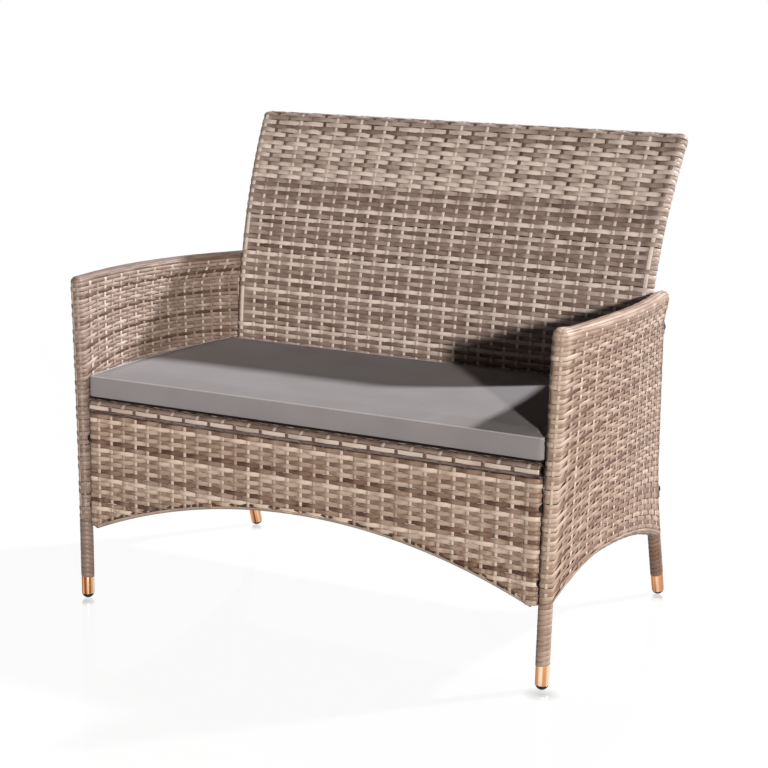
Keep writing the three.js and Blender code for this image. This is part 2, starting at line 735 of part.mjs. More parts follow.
function buildCushion() {
  const zipSize = [2 * (cushionHalf - zipSet), 2 * overrun, zipHeight];
  const zip = new THREE.BoxGeometry(...zipSize).translate(0, cushionRear, cushionMiddle[1]);
  const slot = toSolid(zip).subtract(cushionBlock(coverThick + overrun / 2, foamRows));
  const hollow = [cushionBlock(coverThick, foamRows), slot];
  add('cushion_cover', toGeometry(cut(cushionBlock(0, cushionRows), hollow)), coverLook);
  add('cushion_foam', toGeometry(cushionBlock(coverThick + gap, foamRows)), foamLook);
}

// Fasteners
function buildFasteners() {
  for (const [name, side] of sides) {
    for (const b of frontBolts(side)) {
      const body = bolt(b.start, b.way, b.length, boltHeadR, boltHeadHeight);
      add(`${name}_front_${b.level}_bolt`, toGeometry(body), blackLook);
      const rim = [[boltHoleR, 0], [spacerR, 0], [spacerR, b.spacerThick], [boltHoleR, b.spacerThick]];
      const spacer = lathed([...rim, rim[0]], b.spacerAt, b.way, roundSides);
      add(`${name}_front_${b.level}_spacer`, toGeometry(spacer), blackLook);
    }
    for (const b of rearBolts(side)) {
      const body = bolt(b.start, b.way, b.length, capHeadR, capHeadHeight);
      add(`${name}_rear_${b.level}_bolt`, toGeometry(body), blackLook);
    }
  }
  backBolts.forEach((b, i) => {
    const body = bolt(b.start, b.way, b.length, boltHeadR, boltHeadHeight);
    add(`seat_back_${sides[i][0]}_bolt`, toGeometry(body), blackLook);
  });
}

for (const [name, side] of sides) buildArm(name, side);
buildBack();
buildSeat();
buildApron();
buildCushion();
buildFasteners();

// The sofa stands on z = 0 and its box is centred on x = 0 and y = 0.
const box = new THREE.Box3().setFromObject(sofa);
const centre = box.getCenter(new THREE.Vector3());
sofa.position.set(-centre.x, -centre.y, 0);

export default sofa;
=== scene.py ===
# %% [markdown]
# # A woven garden sofa
# A two-seat sofa for a terrace: a welded steel frame, hidden under flat plastic strands that are
# woven over it, copper-coloured feet, and one loose seat cushion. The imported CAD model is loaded
# first as a fixed frame. Everything after it is made to fit that frame, in metres.

# %% Load the frame
import json
import math

import bmesh
import bpy
import numpy as np
from mathutils import Matrix, Vector


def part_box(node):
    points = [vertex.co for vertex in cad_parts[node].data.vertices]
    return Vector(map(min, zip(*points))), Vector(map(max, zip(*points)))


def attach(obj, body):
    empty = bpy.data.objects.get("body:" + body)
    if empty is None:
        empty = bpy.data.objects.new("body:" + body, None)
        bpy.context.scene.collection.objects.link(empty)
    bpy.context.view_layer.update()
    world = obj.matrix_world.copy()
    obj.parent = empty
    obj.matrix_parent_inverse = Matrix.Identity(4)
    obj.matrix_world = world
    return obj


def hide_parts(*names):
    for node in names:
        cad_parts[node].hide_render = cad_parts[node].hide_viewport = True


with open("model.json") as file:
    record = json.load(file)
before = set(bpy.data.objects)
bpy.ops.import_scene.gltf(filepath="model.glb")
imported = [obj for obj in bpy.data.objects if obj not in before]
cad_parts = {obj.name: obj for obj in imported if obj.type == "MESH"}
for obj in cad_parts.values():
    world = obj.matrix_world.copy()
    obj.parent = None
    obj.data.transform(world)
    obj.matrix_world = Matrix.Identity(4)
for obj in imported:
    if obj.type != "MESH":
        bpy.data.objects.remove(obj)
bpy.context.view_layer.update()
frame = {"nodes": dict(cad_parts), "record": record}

# %% [markdown]
# ## From arrays to a mesh
# Every new piece is a grid of points worked out with numpy. A mesh can be filled point by point,
# but whole arrays are much faster, and they keep the formula of a shape in one line.
# Two numbers travel with each point: the tone of its strand, from dark to light, and its place
# on the strand, so that the material can draw fibres that follow the weave.

# %% A mesh from arrays
SMALL = 1e-9


def unit(vectors):
    """Each vector divided by its own length."""
    return vectors / np.maximum(np.linalg.norm(vectors, axis=-1, keepdims=True), SMALL)


def lerp(low, high, share):
    """The value that lies a share of the way from low to high."""
    return low + (high - low) * share


def ease(share):
    """0 below 0, 1 above 1, and between them three times the square less twice the cube."""
    s = np.clip(share, 0.0, 1.0)
    return s * s * (3.0 - 2.0 * s)


def mesh_piece(name, points, quads, tone=None, strand=None):
    """An object whose mesh has these points and four-sided faces, and the two strand attributes."""
    mesh = bpy.data.meshes.new(name)
    mesh.vertices.add(len(points))
    mesh.vertices.foreach_set("co", np.ascontiguousarray(points, np.float32).ravel())
    mesh.loops.add(quads.size)
    mesh.loops.foreach_set("vertex_index", np.ascontiguousarray(quads, np.int32).ravel())
    mesh.polygons.add(len(quads))
    mesh.polygons.foreach_set("loop_start", np.arange(0, quads.size, 4, dtype=np.int32))
    mesh.polygons.foreach_set("use_smooth", np.ones(len(quads), bool))
    if tone is not None:
        tones = mesh.attributes.new("tone", "FLOAT", "POINT").data
        tones.foreach_set("value", tone.astype(np.float32))
        vectors = np.ascontiguousarray(strand, np.float32).ravel()
        mesh.attributes.new("strand", "FLOAT_VECTOR", "POINT").data.foreach_set("vector", vectors)
    mesh.update()
    mesh.validate()
    piece = bpy.data.objects.new(name, mesh)
    bpy.context.scene.collection.objects.link(piece)
    return piece


# %% [markdown]
# ## One strand
# A strand is a flat plastic ribbon, about 7.5 mm wide and a little over 1 mm thick, with rounded
# edges. It could be a curve with a bevel, but thousands of curve points are slow. Here a six-point
# section is carried along the strand's middle line: each ring of points is the middle, plus a
# share of the half width across, plus a share of the thickness outwards.

# %% Strands from middle lines
SECTION = np.array([(-1, 0), (-0.9, 0.46), (0, 0.58), (0.9, 0.46), (1, 0), (0, -0.5)])
RING = len(SECTION)
CAP_QUADS = np.array([(0, 1, 2, 5), (2, 3, 4, 5)])


def strand_quads(strands, rings, closed):
    """Side faces between neighbouring rings of each strand, and two faces on each open end."""
    s = np.arange(strands)[:, None, None]
    k = np.arange(rings if closed else rings - 1)[None, :, None]
    m = np.arange(RING)[None, None, :]

    def number(ring, point):
        return (s * rings + ring % rings) * RING + point % RING

    sides = np.stack([number(k, m), number(k + 1, m), number(k + 1, m + 1), number(k, m + 1)], -1)
    if closed:
        return sides.reshape(-1, 4)
    first = np.arange(strands)[:, None, None] * rings * RING
    starts = first + CAP_QUADS[None]
    ends = first + (rings - 1) * RING + CAP_QUADS[None, :, ::-1]
    return np.concatenate([part.reshape(-1, 4) for part in (sides, starts, ends)])


def strands_piece(name, middle, across, out, thick, tone, closed=False, mirrored=False):
    """Strands from arrays of middle points, half-width vectors and outward directions.

    Each array has one row for a strand and one column for a ring. Travel crossed with across
    gives the outward direction. A mirrored piece has x turned round, and its faces with it."""
    strands, rings = middle.shape[:2]
    wide, high = SECTION[:, 0, None], SECTION[:, 1, None] * thick
    points = middle[:, :, None] + across[:, :, None] * wide + out[:, :, None] * high
    steps = np.linalg.norm(np.diff(middle, axis=1), axis=-1)
    along = np.concatenate([np.zeros((strands, 1)), np.cumsum(steps, axis=1)], axis=1)
    shape = (strands, rings, RING)
    number = np.arange(strands)[:, None, None]
    place = [along[:, :, None], SECTION[:, 0], number]
    strand = np.stack([np.broadcast_to(part, shape) for part in place], -1)
    quads = strand_quads(strands, rings, closed)
    points = points.reshape(-1, 3)
    if mirrored:
        points = points * (-1, 1, 1)
        quads = quads[:, ::-1]
    tones = np.broadcast_to(tone[:, :, None], shape).ravel()
    piece = mesh_piece(name, points, quads, tones, strand.reshape(-1, 3))
    print(f"{name}: {strands} strands, {len(quads) * 2} triangles")
    return piece


# %% [markdown]
# ## Tone of the strands
# Natural cane is never one colour, and this plastic one copies that: rows run from cream to
# brown, and each strand drifts a little along its length. The tone of a strand is a number from
# 0, brown, to 1, cream. It is a value for its row plus a slow wander along it, where random
# values at even distances are joined by eased steps.

# %% Rows of tones
rng = np.random.default_rng(11)


def wander(strands, rings, knots, closed=False):
    """Random values at the knots of each strand, between -1 and 1, with eased steps between."""
    values = rng.uniform(-1, 1, (strands, knots + 1))
    if closed:
        values[:, -1] = values[:, 0]
    place = np.linspace(0, knots, rings, endpoint=not closed)
    knot = np.minimum(place.astype(int), knots - 1)
    return lerp(values[:, knot], values[:, knot + 1], ease(place - knot))


def row_tones(pattern, rows, spread, start=0):
    """The pattern of tones repeated over the rows, each with a random change up to the spread."""
    repeated = np.array(pattern)[(np.arange(rows) + start) % len(pattern)]
    return repeated + rng.uniform(-spread, spread, rows)


# %% [markdown]
# ## Around a panel
# The arms and the back are flat cages with the weave running all the way round them: along the
# outer face, round the rear tube, back along the inner face and round the front tube. A strand's
# place on that loop is counted in stakes, the upright strands that it passes. On a face, a count
# moves along the panel. At an end, one count turns the outward direction through half a circle.

# %% Place on the loop
STAKE = 0.026
ROW = 0.0077
STRAND_THICK = 0.0012
STAKE_HALF = 0.0033
STAKE_THICK = 0.001
STAKE_SHARE = 0.3
FACE_WAVE = 0.0012
ARM_WAVE = 0.0011
TUBE_WAVE = 0.0005
STEEP_SIDES = 1.8
STEEP_BRICKS = 5
FILL = 0.53
# Painted highlight on top of a stake, and painted shade where a strand goes under one.
CREST_HIGHLIGHT = 0.1
UNDER_STAKE_SHADE = 0.2
RINGS_PER_STAKE = 8
EDGE_ROWS = 3
DARK = 0.36
PULL = 0.1
WIDER = 0.05
CALM = 0.4
SWAY = 0.03
SUNK = 0.0004
DRIFT = 0.13
TONE_ON_TUBE = 0.45
STAKE_DRIFT = 0.1
STAKE_KNOTS = 40
POST_MARK = 0.4
POST_TURN = 0.35


def around(count, stakes):
    """Share along the panel and turned angle at a count of stakes round a loop of two faces."""
    marks = [0, stakes, stakes + 1, 2 * stakes + 1, 2 * stakes + 2]
    place = np.mod(count, marks[-1])
    share = np.interp(place, marks, [0, 1, 1, 0, 0])
    return share, math.pi * np.interp(place, marks, [0, 0, 1, 1, 2])


def around_arm(count, stakes):
    """The same for an arm, whose first stakes stand on the quarters of the front tube."""
    far = 2 * stakes
    marks = [0, POST_MARK, 1, stakes, stakes + 1, far, far + 1 - POST_MARK, far + 1, far + 2]
    place = np.mod(count, marks[-1])
    share = np.interp(place, marks, [0, 0, 1 / stakes, 1, 1, 1 / stakes, 0, 0, 0])
    turns = [-POST_TURN, 0, 0, 0, 1, 1, 1, 1 + POST_TURN, 2 - POST_TURN]
    return share, math.pi * np.interp(place, marks, turns)


def near_tube(share, angle, reach):
    """1 where a loop rounds an end tube, falling to 0 on the face within the reach."""
    turned = np.abs(np.sin(angle)) > SMALL
    return np.where(turned, 1.0, 1.0 - ease(np.minimum(share, 1 - share) / reach))


def over_under(phase):
    """1 over a stake and -1 under the next: a cosine with steep sides and flat ends."""
    return np.tanh(STEEP_SIDES * np.cos(math.pi * phase)) / math.tanh(STEEP_SIDES)


def brick(phase, facing):
    """1 on the brick from over a stake to under the next, -1 on the one that rises again."""
    return np.tanh(STEEP_BRICKS * np.sin(math.pi * phase)) * facing


def brick_light_and_shade(phase, facing, lit_half):
    """Painted light and shade: falling brick, facing the lamp, paler; painted highlight on a stake;
    painted shade where the strand goes under.
    """
    swing = np.cos(math.pi * phase)
    crest_glint, under = np.clip(swing, 0, 1) ** 4, np.clip(-swing, 0, 1) ** 8
    return lit_half * brick(phase, facing) + CREST_HIGHLIGHT * crest_glint - UNDER_STAKE_SHADE * under


def drawn_rows(rows, tones):
    """Row levels, with the rows beside a dark one drawn towards it, so that they half cover it."""
    dark = np.pad(np.asarray(tones) < DARK, 1).astype(float)
    return np.asarray(rows, float) + 0.5 + PULL * (dark[2:] - dark[:-2])


def woven_loops(name, skin, stakes, rows, tones, lit_half, facing=1, lift=None, mirrored=False):
    """Closed strands round a panel: each passes over one stake and under the next.

    A dark row swings less, so that it shows as one thin line between its neighbours. The fourth
    argument is painted light: how much paler the falling bricks, which face the lamp, are painted.
    Lift, if any, adds to the tone at a count."""
    rings = (2 * stakes + 2) * RINGS_PER_STAKE
    count = np.arange(rings)[None] / RINGS_PER_STAKE
    level = drawn_rows(rows, tones)[:, None]
    dark = (tones < DARK)[:, None]
    phase = count + np.asarray(rows)[:, None]
    knots = (stakes + 1) * 2
    sway = SWAY * wander(len(rows), rings, knots, True)
    middle, out, wave = skin(count, level + sway)
    flat = np.clip((wave - TUBE_WAVE) / (FACE_WAVE - TUBE_WAVE), 0, 1)
    fill = FILL * (1 + WIDER * flat * brick(phase, facing))
    high, _, _ = skin(count, level + sway + fill)
    low, _, _ = skin(count, level + sway - fill)
    swing = wave * np.where(dark, CALM, 1.0)
    middle = middle + out * (swing * over_under(phase) - SUNK * dark)[..., None]
    own = lerp(TONE_ON_TUBE, 1, np.clip(2 * flat, 0, 1))
    row_tone = lerp(np.mean(tones), tones[:, None], own)
    # Painted light and shade on the bricks: paler falling bricks, crest highlights, shade under the
    # stakes.
    brick_light = brick_light_and_shade(phase, facing, lit_half) * flat
    tone = row_tone + DRIFT * wander(len(rows), rings, knots, True) + brick_light
    if lift:
        tone = tone + lift(count)
    return strands_piece(name, middle, (high - low) / 2, out, STRAND_THICK, tone, True, mirrored)


def woven_stakes(name, skin, counts, rows, width, tones, mirrored=False):
    """Upright strands at these counts. At each row they give way to the strand that crosses."""
    level = np.arange(rows[0], rows[1] + 0.25, 0.5)[None]
    count = np.asarray(counts, float)[:, None]
    middle, out, wave = skin(count, level)
    right, _, _ = skin(count + width, level)
    left, _, _ = skin(count - width, level)
    give = STAKE_SHARE * wave * np.cos(math.pi * (count + level - 0.5))
    middle = middle - out * give[..., None]
    tone = tones(level) + STAKE_DRIFT * wander(len(counts), level.size, STAKE_KNOTS)
    return strands_piece(name, middle, (left - right) / 2, out, STAKE_THICK, tone, False, mirrored)


# %% [markdown]
# ## The arms
# Each arm is a bent tube that rises as the front leg and turns into the arm rest, the rear leg,
# and an arched rail low between them. Seen from the side the rows lie level at the arm rest and
# follow the arch at the bottom. So a row's height is a share of the way from the arch to the arm
# rest, and the last rows roll over the top tube, as the real weave does.

# %% Outlines of an arm
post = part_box("right_front_foot_glide")
rear_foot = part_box("right_rear_foot_glide")
FRONT_Y = (post[0].y + post[1].y) / 2
FRONT_X = (post[0].x + post[1].x) / 2
REAR_X = (rear_foot[0].x + rear_foot[1].x) / 2
REAR_TOP_X = REAR_X + 0.003
ARM_TOP = 0.593
ARM_LEAN = 0.0147
LEAN_POWER = 1.6
ARM_BOW = 0.0225
ARM_AXIS_Z = 0.580
ARM_FALL = 0.013
ARM_TAIL_Y = 0.503
ARCH_END = 0.139
ARCH_AXIS_Z = 0.151
ARCH_RISE = 0.053
ARCH_DROP = 0.018
ARCH_PEAK_Y = 0.178
KNEE_Z = 0.220
KNEE_REACH = 0.060
KNEE_Y = 0.4955
LEG_SLOPE = 0.045
KNEE_SLOPE = 0.285
ROW_CLIMB = 0.038
CLIMB_POWERS = (1.3, 0.8)
CLIMB_START = 0.25
TAIL_LOW = 0.525
TAIL_RISE = 0.045
ARM_EDGE = 0.04
TOP_ROLL = 0.06
ARCH_ROLL = 0.05
ARCH_ROLL_TUBE = 0.6
ARM_FACE_R = 0.0098
FRONT_POST_R = 0.0110
REAR_POST_R = 0.0121
BULGE_END = 0.06
LEAST_BULGE = 0.0004
BULGES = ((0.0017, 0.16, 0.16), (0.0034, 0.38, 0.17))
STEP = 0.001
ROLLED_WAVE = 0.9
ARM_STAKES = 19
ARM_ROWS = 56


def front_x(z):
    """The front leg's axis leans outwards as its height to the power of 1.6."""
    return FRONT_X + ARM_LEAN * (np.maximum(z, 0) / ARM_TOP) ** LEAN_POWER


def rear_x(z):
    """The rear leg's axis, a straight line seen from the front."""
    return lerp(REAR_X, REAR_TOP_X, z / ARM_TOP)


def rear_leg_y(z):
    """The rear leg's depth behind the front leg: two straight runs joined by a parabola."""
    below = KNEE_Z - z
    curved = (below + KNEE_REACH) ** 2 / (4 * KNEE_REACH)
    bent = np.where(np.abs(below) < KNEE_REACH, curved, np.maximum(below, 0))
    return KNEE_Y + LEG_SLOPE * below + KNEE_SLOPE * bent


def arm_axis_z(y):
    """The arm rest's axis falls with the square of the depth."""
    return ARM_AXIS_Z - ARM_FALL * (y / ARM_TAIL_Y) ** 2


def arch_z(y):
    """The arch's axis: two half parabolas that meet at the peak, the rear one deeper."""
    front = ARCH_RISE * (1 - y / ARCH_PEAK_Y) ** 2
    reach = rear_leg_y(ARCH_END) - ARCH_PEAK_Y
    rear = (ARCH_RISE + ARCH_DROP) * ((y - ARCH_PEAK_Y) / reach) ** 2
    return ARCH_AXIS_Z + ARCH_RISE - np.where(y < ARCH_PEAK_Y, front, rear)


def arm_x(y, z):
    """The arm's middle: straight from post to post, bowed outwards by a parabola between them."""
    share = y / rear_leg_y(z)
    between = np.clip(share, 0, 1)
    return lerp(front_x(z), rear_x(z), share) + ARM_BOW * 4 * between * (1 - between)


def post_bulge(z):
    """How far the right post swells inwards: each part grows from its height over its rise."""
    return sum((size * ease((z - low) / rise) for size, low, rise in BULGES), LEAST_BULGE)


def arm_skin(count, level, bulging=False):
    """A point of the right arm's skin, its outward direction and how far the weave swings there.

    A row's height is its share of the way from the arch to the arm rest, and it climbs a little
    towards the rear, most near the arch. Past the last row, and before the first, the outward
    direction rolls over the tube by a quarter turn. A bulging post swells inwards."""
    share, angle = around_arm(count, ARM_STAKES)
    raised = np.clip(level / ARM_ROWS, 0, 1)
    over = np.clip((level - ARM_ROWS) / EDGE_ROWS, 0, 1) + np.clip(level / EDGE_ROWS, -1, 0)
    near = share * rear_leg_y(lerp(ARCH_END, ARM_TOP, raised))
    rearwards, downwards = share ** CLIMB_POWERS[0], (1 - raised) ** CLIMB_POWERS[1]
    climb = ROW_CLIMB * rearwards * downwards * ease(raised / CLIMB_START)
    z = lerp(arch_z(near), arm_axis_z(near), raised) + climb
    tail = (ARM_TAIL_Y - rear_leg_y(ARM_TOP)) * ease((z - TAIL_LOW) / TAIL_RISE)
    y = share * (rear_leg_y(z) + tail)
    x = arm_x(y, z)
    tube = np.maximum(near_tube(share, angle, ARM_EDGE), ease((raised - 1 + TOP_ROLL) / TOP_ROLL))
    tube = np.maximum(tube, ease((ARCH_ROLL - raised) / ARCH_ROLL) * ARCH_ROLL_TUBE) + 0 * x
    turn = ARM_BOW * 4 * (1 - 2 * np.clip(y / rear_leg_y(z), 0, 1))
    run = unit(np.stack([rear_x(z) - front_x(z) + turn, rear_leg_y(z) + 0 * x, 0 * x], -1))
    side = np.stack([run[..., 1], -run[..., 0], 0 * run[..., 2]], -1)
    arch_slope = (arch_z(near + STEP) - arch_z(near - STEP)) / (2 * STEP)
    slope = np.where(over < 0, arch_slope, 0) + 0 * x
    upward = unit(np.array([0, 0, 1.0]) - run * slope[..., None])
    flat = side * np.cos(angle)[..., None] + run * np.sin(angle)[..., None]
    roll = (over * math.pi / 2 + 0 * x)[..., None]
    out = unit(flat * np.cos(roll) + upward * np.sin(roll))
    radius = lerp(ARM_FACE_R, lerp(FRONT_POST_R, REAR_POST_R, ease(share * 3)), tube)
    if bulging:
        inwards = np.clip(-out[..., 0], 0, 1) * (1 - ease(share / BULGE_END))
        radius = radius + inwards * post_bulge(z)
    middle = np.stack([x, y + FRONT_Y + 0 * x, z + 0 * x], -1) + out * radius[..., None]
    return middle, out, lerp(ARM_WAVE, TUBE_WAVE, tube) * (1 - ROLLED_WAVE * np.abs(over))


# %% [markdown]
# The right post, in full view, swells inwards, and its strands are paler where they round the front
# tube. The left arm's top rows are painted almost brown: painted shade of the back falling on them.
# Each arm therefore has its own skin, first row, top tone and post tone.

# %% Weave the arms
ARM_PATTERN = (0.47, 0.55, 0.4, 0.45, 0.42, 0.06)
ARM_STAKE_PATTERN = (0.8, 0.55)
ARM_SPREAD = 0.06
STAKE_SPREAD = 0.1
# How much paler the arms' falling bricks are painted: painted light.
ARM_LIT_HALF = 0.08
LAST_TONE = 0.5
# Each side: name, mirrored, first row, top rows' tone (painted shade on the left arm) and post
# tone.
ARM_SIDES = (("left", True, 1, 0.06, 0.06), ("right", False, 4, 0.72, 0.24))
arm_pieces = {}


def bulging_skin(count, level):
    """The arm's skin with a post that swells inwards."""
    return arm_skin(count, level, True)


def near_post(count):
    """1 where a loop rounds the front tube, 0 elsewhere."""
    return 1 - ease(around_arm(count, ARM_STAKES)[0] * ARM_STAKES)


for name, mirrored, start, top_tone_and_shade, post_tone in ARM_SIDES:
    rows = np.arange(ARM_ROWS + EDGE_ROWS)
    tones = row_tones(ARM_PATTERN, rows.size, ARM_SPREAD, start)
    tones[ARM_ROWS - 1] = LAST_TONE
    tones[ARM_ROWS:] = top_tone_and_shade
    skin = arm_skin if mirrored else bulging_skin
    loops = woven_loops(
        f"{name}_arm_rows", skin, ARM_STAKES, rows, tones, ARM_LIT_HALF, -1,
        lambda count: post_tone * near_post(count), mirrored,
    )
    counts = np.arange(2 * ARM_STAKES + 2)
    shades = row_tones(ARM_STAKE_PATTERN, counts.size, STAKE_SPREAD)[:, None]
    stakes = woven_stakes(
        f"{name}_arm_stakes", skin, counts, (0, ARM_ROWS), STAKE_HALF / STAKE,
        lambda level: shades + 0 * level, mirrored,
    )
    arm_pieces[name] = [loops, stakes]

# %% [markdown]
# The strands that turn under the arch run only from leg to leg, so they are open strands. They
# use the same skin, rolled the other way.

# %% Roll the weave under each arch
UNDER_LEVELS = np.array([-0.5, -1.5, -2.5])
UNDER_TONE = 0.55
UNDER_DRIFT = 0.12
UNDER_KNOTS = 20


def arch_strands(name, mirrored):
    """Open strands below the arch's first row, on both faces, from one leg to the other."""
    rings = ARM_STAKES * RINGS_PER_STAKE + 1
    starts = np.array([[POST_MARK], [ARM_STAKES + 1]])
    ends = np.array([[ARM_STAKES], [2 * ARM_STAKES + 1 - POST_MARK]])
    count = lerp(starts, ends, np.linspace(0, 1, rings)[None])
    count = np.repeat(count, UNDER_LEVELS.size, axis=0)
    level = np.tile(UNDER_LEVELS, 2)[:, None] + 0 * count
    middle, out, _ = arm_skin(count, level)
    high, _, _ = arm_skin(count, level + FILL)
    low, _, _ = arm_skin(count, level - FILL)
    weave = over_under(count + np.floor(level))
    middle = middle + out * (TUBE_WAVE * weave)[..., None]
    tone = UNDER_TONE + UNDER_DRIFT * wander(len(level), rings, UNDER_KNOTS)
    return strands_piece(name, middle, (high - low) / 2, out, STRAND_THICK, tone, False, mirrored)


for name, mirrored in (("left", True), ("right", False)):
    arm_pieces[name].append(arch_strands(f"{name}_arm_arch_edge", mirrored))

# %% [markdown]
# ## Wound legs
# Below the arch each leg is one strand wound round the tube, turn against turn. That is a helix:
# the angle grows evenly, and one whole turn climbs by one strand width.

# %% Wind the legs
SLEEVE_HIGH = 0.0445
LEG_TURN = 0.0087
LEG_LOW = SLEEVE_HIGH - LEG_TURN / 2
LEG_HIGH = {"front": 0.1535, "rear": 0.1355}
LEG_TONE = {"left_front": 0.36, "right_front": 0.56, "left_rear": 0.26, "right_rear": 0.22}
LEG_R = 0.0113
LEG_TUCK = 0.0009
LEG_UNEVEN = 0.0001
LEG_DRIFT = 0.1
TURN_RINGS = 20


def wound_leg(leg, path, end, mirrored):
    """A helix about the leg's axis: the axis point, plus a radius that turns with the height."""
    turns = (LEG_HIGH[end] - LEG_LOW) / LEG_TURN
    angle = np.linspace(0, turns * 2 * math.pi, int(turns * TURN_RINGS))[None]
    z = LEG_LOW + angle / (2 * math.pi) * LEG_TURN
    axis = unit(path(z + STEP) - path(z - STEP))
    first = unit(np.array([1.0, 0, 0]) - axis * axis[..., :1])
    second = np.cross(axis, first)
    out = first * np.cos(angle)[..., None] + second * np.sin(angle)[..., None]
    under = ease((z - LEG_HIGH[end] + LEG_TURN) / LEG_TURN)
    under = under + ease((SLEEVE_HIGH - z) / (LEG_TURN / 2))
    radius = LEG_R - LEG_TUCK * under + LEG_UNEVEN * wander(1, angle.size, int(turns))
    middle = path(z) + out * radius[..., None]
    across = axis * (LEG_TURN * FILL)
    tone = LEG_TONE[leg] + LEG_DRIFT * wander(1, angle.size, int(turns))
    name = f"{leg}_leg_winding"
    return strands_piece(name, middle, across, out, STRAND_THICK, tone, False, mirrored)


def front_leg_path(z):
    """The front leg's axis as a point for each height."""
    return np.stack([front_x(z), FRONT_Y + 0 * z, z], -1)


def rear_leg_path(z):
    """The rear leg's axis as a point for each height."""
    return np.stack([rear_x(z), FRONT_Y + rear_leg_y(z), z], -1)


for name, mirrored in (("left", True), ("right", False)):
    for end, path in (("front", front_leg_path), ("rear", rear_leg_path)):
        arm_pieces[name].append(wound_leg(f"{name}_{end}", path, end, mirrored))
    for piece in arm_pieces[name]:
        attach(piece, "frame")
        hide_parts(f"{name}_arm_weave")

# %% [markdown]
# ## The back
# The back leans and curves away a little towards its top, where it is also slightly wider. It is
# woven like an arm: loops of strands round the panel, rolling over the tube at the top and under
# the rail at the bottom. Its lower and upper rows are separate pieces, so that each stays light.

# %% Outlines of the back
BACK_TOP = 0.851
BACK_AXIS_TOP = 0.8385
BACK_AXIS_LOW = 0.2075
BACK_Y = 0.4735
BACK_CURVE_Z = 0.400
BACK_CURVE_R = 0.850
BACK_HALF = 0.426
BACK_FLARE = 0.018
FLARE_POWER = 1.8
BACK_TUBE = 0.0125
BACK_FACE_R = 0.0092
BACK_EDGE_R = 0.0124
BACK_EDGE = 0.03
BACK_ROLL = 0.04
BACK_STAKES = 32
BACK_ROWS = 82


def back_y(z):
    """Below the seat the back runs beside the rear legs; above it, it follows a large circle."""
    low = BACK_Y + rear_leg_y(z) - rear_leg_y(BACK_CURVE_Z)
    rise = np.clip(z - BACK_CURVE_Z, 0, None)
    high = BACK_Y + BACK_CURVE_R - np.sqrt(BACK_CURVE_R**2 - rise**2)
    return FRONT_Y + np.where(z < BACK_CURVE_Z, low, high)


def back_half(z):
    """Half the width between the side tubes' axes: it grows above the seat, faster at the top."""
    share = np.clip((z - BACK_CURVE_Z) / (BACK_TOP - BACK_CURVE_Z), 0, None)
    return BACK_HALF + BACK_FLARE * share**FLARE_POWER - BACK_TUBE


def back_skin(count, level):
    """A point of the back's skin, its outward direction and how far the weave swings there."""
    share, angle = around(count, BACK_STAKES)
    raised = np.clip(level / BACK_ROWS, 0, 1)
    over = np.clip((level - BACK_ROWS) / EDGE_ROWS, 0, 1) + np.clip(level / EDGE_ROWS, -1, 0)
    z = lerp(BACK_AXIS_LOW, BACK_AXIS_TOP, raised) + 0 * share
    lean = (back_y(z + 2 * STEP) - back_y(z - 2 * STEP)) / (4 * STEP)
    upward = unit(np.stack([0 * z, lean, 0 * z + 1], -1))
    front = np.stack([0 * z, -upward[..., 2], upward[..., 1]], -1)
    tube = ease((BACK_ROLL - np.minimum(raised, 1 - raised)) / BACK_ROLL)
    tube = np.maximum(near_tube(share, angle, BACK_EDGE), tube) + 0 * z
    flat = front * np.cos(angle)[..., None] + np.array([1.0, 0, 0]) * np.sin(angle)[..., None]
    roll = (over * math.pi / 2 + 0 * z)[..., None]
    out = unit(flat * np.cos(roll) + upward * np.sin(roll))
    centre = np.stack([(2 * share - 1) * back_half(z), back_y(z), z], -1)
    radius = lerp(BACK_FACE_R, BACK_EDGE_R, tube)[..., None]
    return centre + out * radius, out, lerp(FACE_WAVE, TUBE_WAVE, tube)


# %% [markdown]
# The photo shows two patterns: above, pale rows with some dark stakes; below, darker rows whose
# stakes are all fairly light. The rows and stakes therefore take their tones from two lists.

# %% Weave the back
BACK_LOW_PATTERN = (0.86, 0.34, 0.5, 0.26, 0.66, 0.3, 0.86, 0.5, 0.24)
BACK_HIGH_PATTERN = (0.88, 0.76, 0.92, 0.8, 0.5)
BACK_SPREADS = (0.08, 0.06)
# How much paler the back's falling bricks are painted, below and above the change: painted light.
BACK_LIT_HALF = (0.04, 0.08)
BACK_STAKE_PATTERN = (1.0, 0.1, 0.2, 1.0, 0.15, 0.1, 0.95, 0.1, 0.9, 0.15)
PATTERN_CHANGE = 66
LINE_TONE = 0.25
TOP_TONE = 0.62
LOW_STAKE_TONE = 0.95
CHANGE_ROWS = 10
back_rows = np.arange(-EDGE_ROWS, BACK_ROWS + EDGE_ROWS)
back_tones = np.where(
    back_rows < PATTERN_CHANGE,
    row_tones(BACK_LOW_PATTERN, back_rows.size, BACK_SPREADS[0]),
    row_tones(BACK_HIGH_PATTERN, back_rows.size, BACK_SPREADS[1]),
)
back_tones[-EDGE_ROWS - 3] = LINE_TONE
back_tones[-EDGE_ROWS:] = TOP_TONE
# Each row's share of painted light on its falling bricks.
lit_half_rows = np.where(back_rows < PATTERN_CHANGE, *BACK_LIT_HALF)[:, None]
half = back_rows.size // 2
back_pieces = [
    woven_loops(name, back_skin, BACK_STAKES, back_rows[part], back_tones[part], lit_half_rows[part])
    for name, part in (("back_lower_rows", slice(half)), ("back_upper_rows", slice(half, None)))
]
counts = np.arange(2 * BACK_STAKES + 2)
stake_tones = row_tones(BACK_STAKE_PATTERN, counts.size, STAKE_SPREAD)[:, None]


def back_stake_tone(level):
    """Low on the back every stake is fairly light; higher up some of them turn dark."""
    changed = ease((level - PATTERN_CHANGE) / CHANGE_ROWS + 0.5)
    return lerp(np.maximum(stake_tones, LOW_STAKE_TONE), stake_tones, changed)


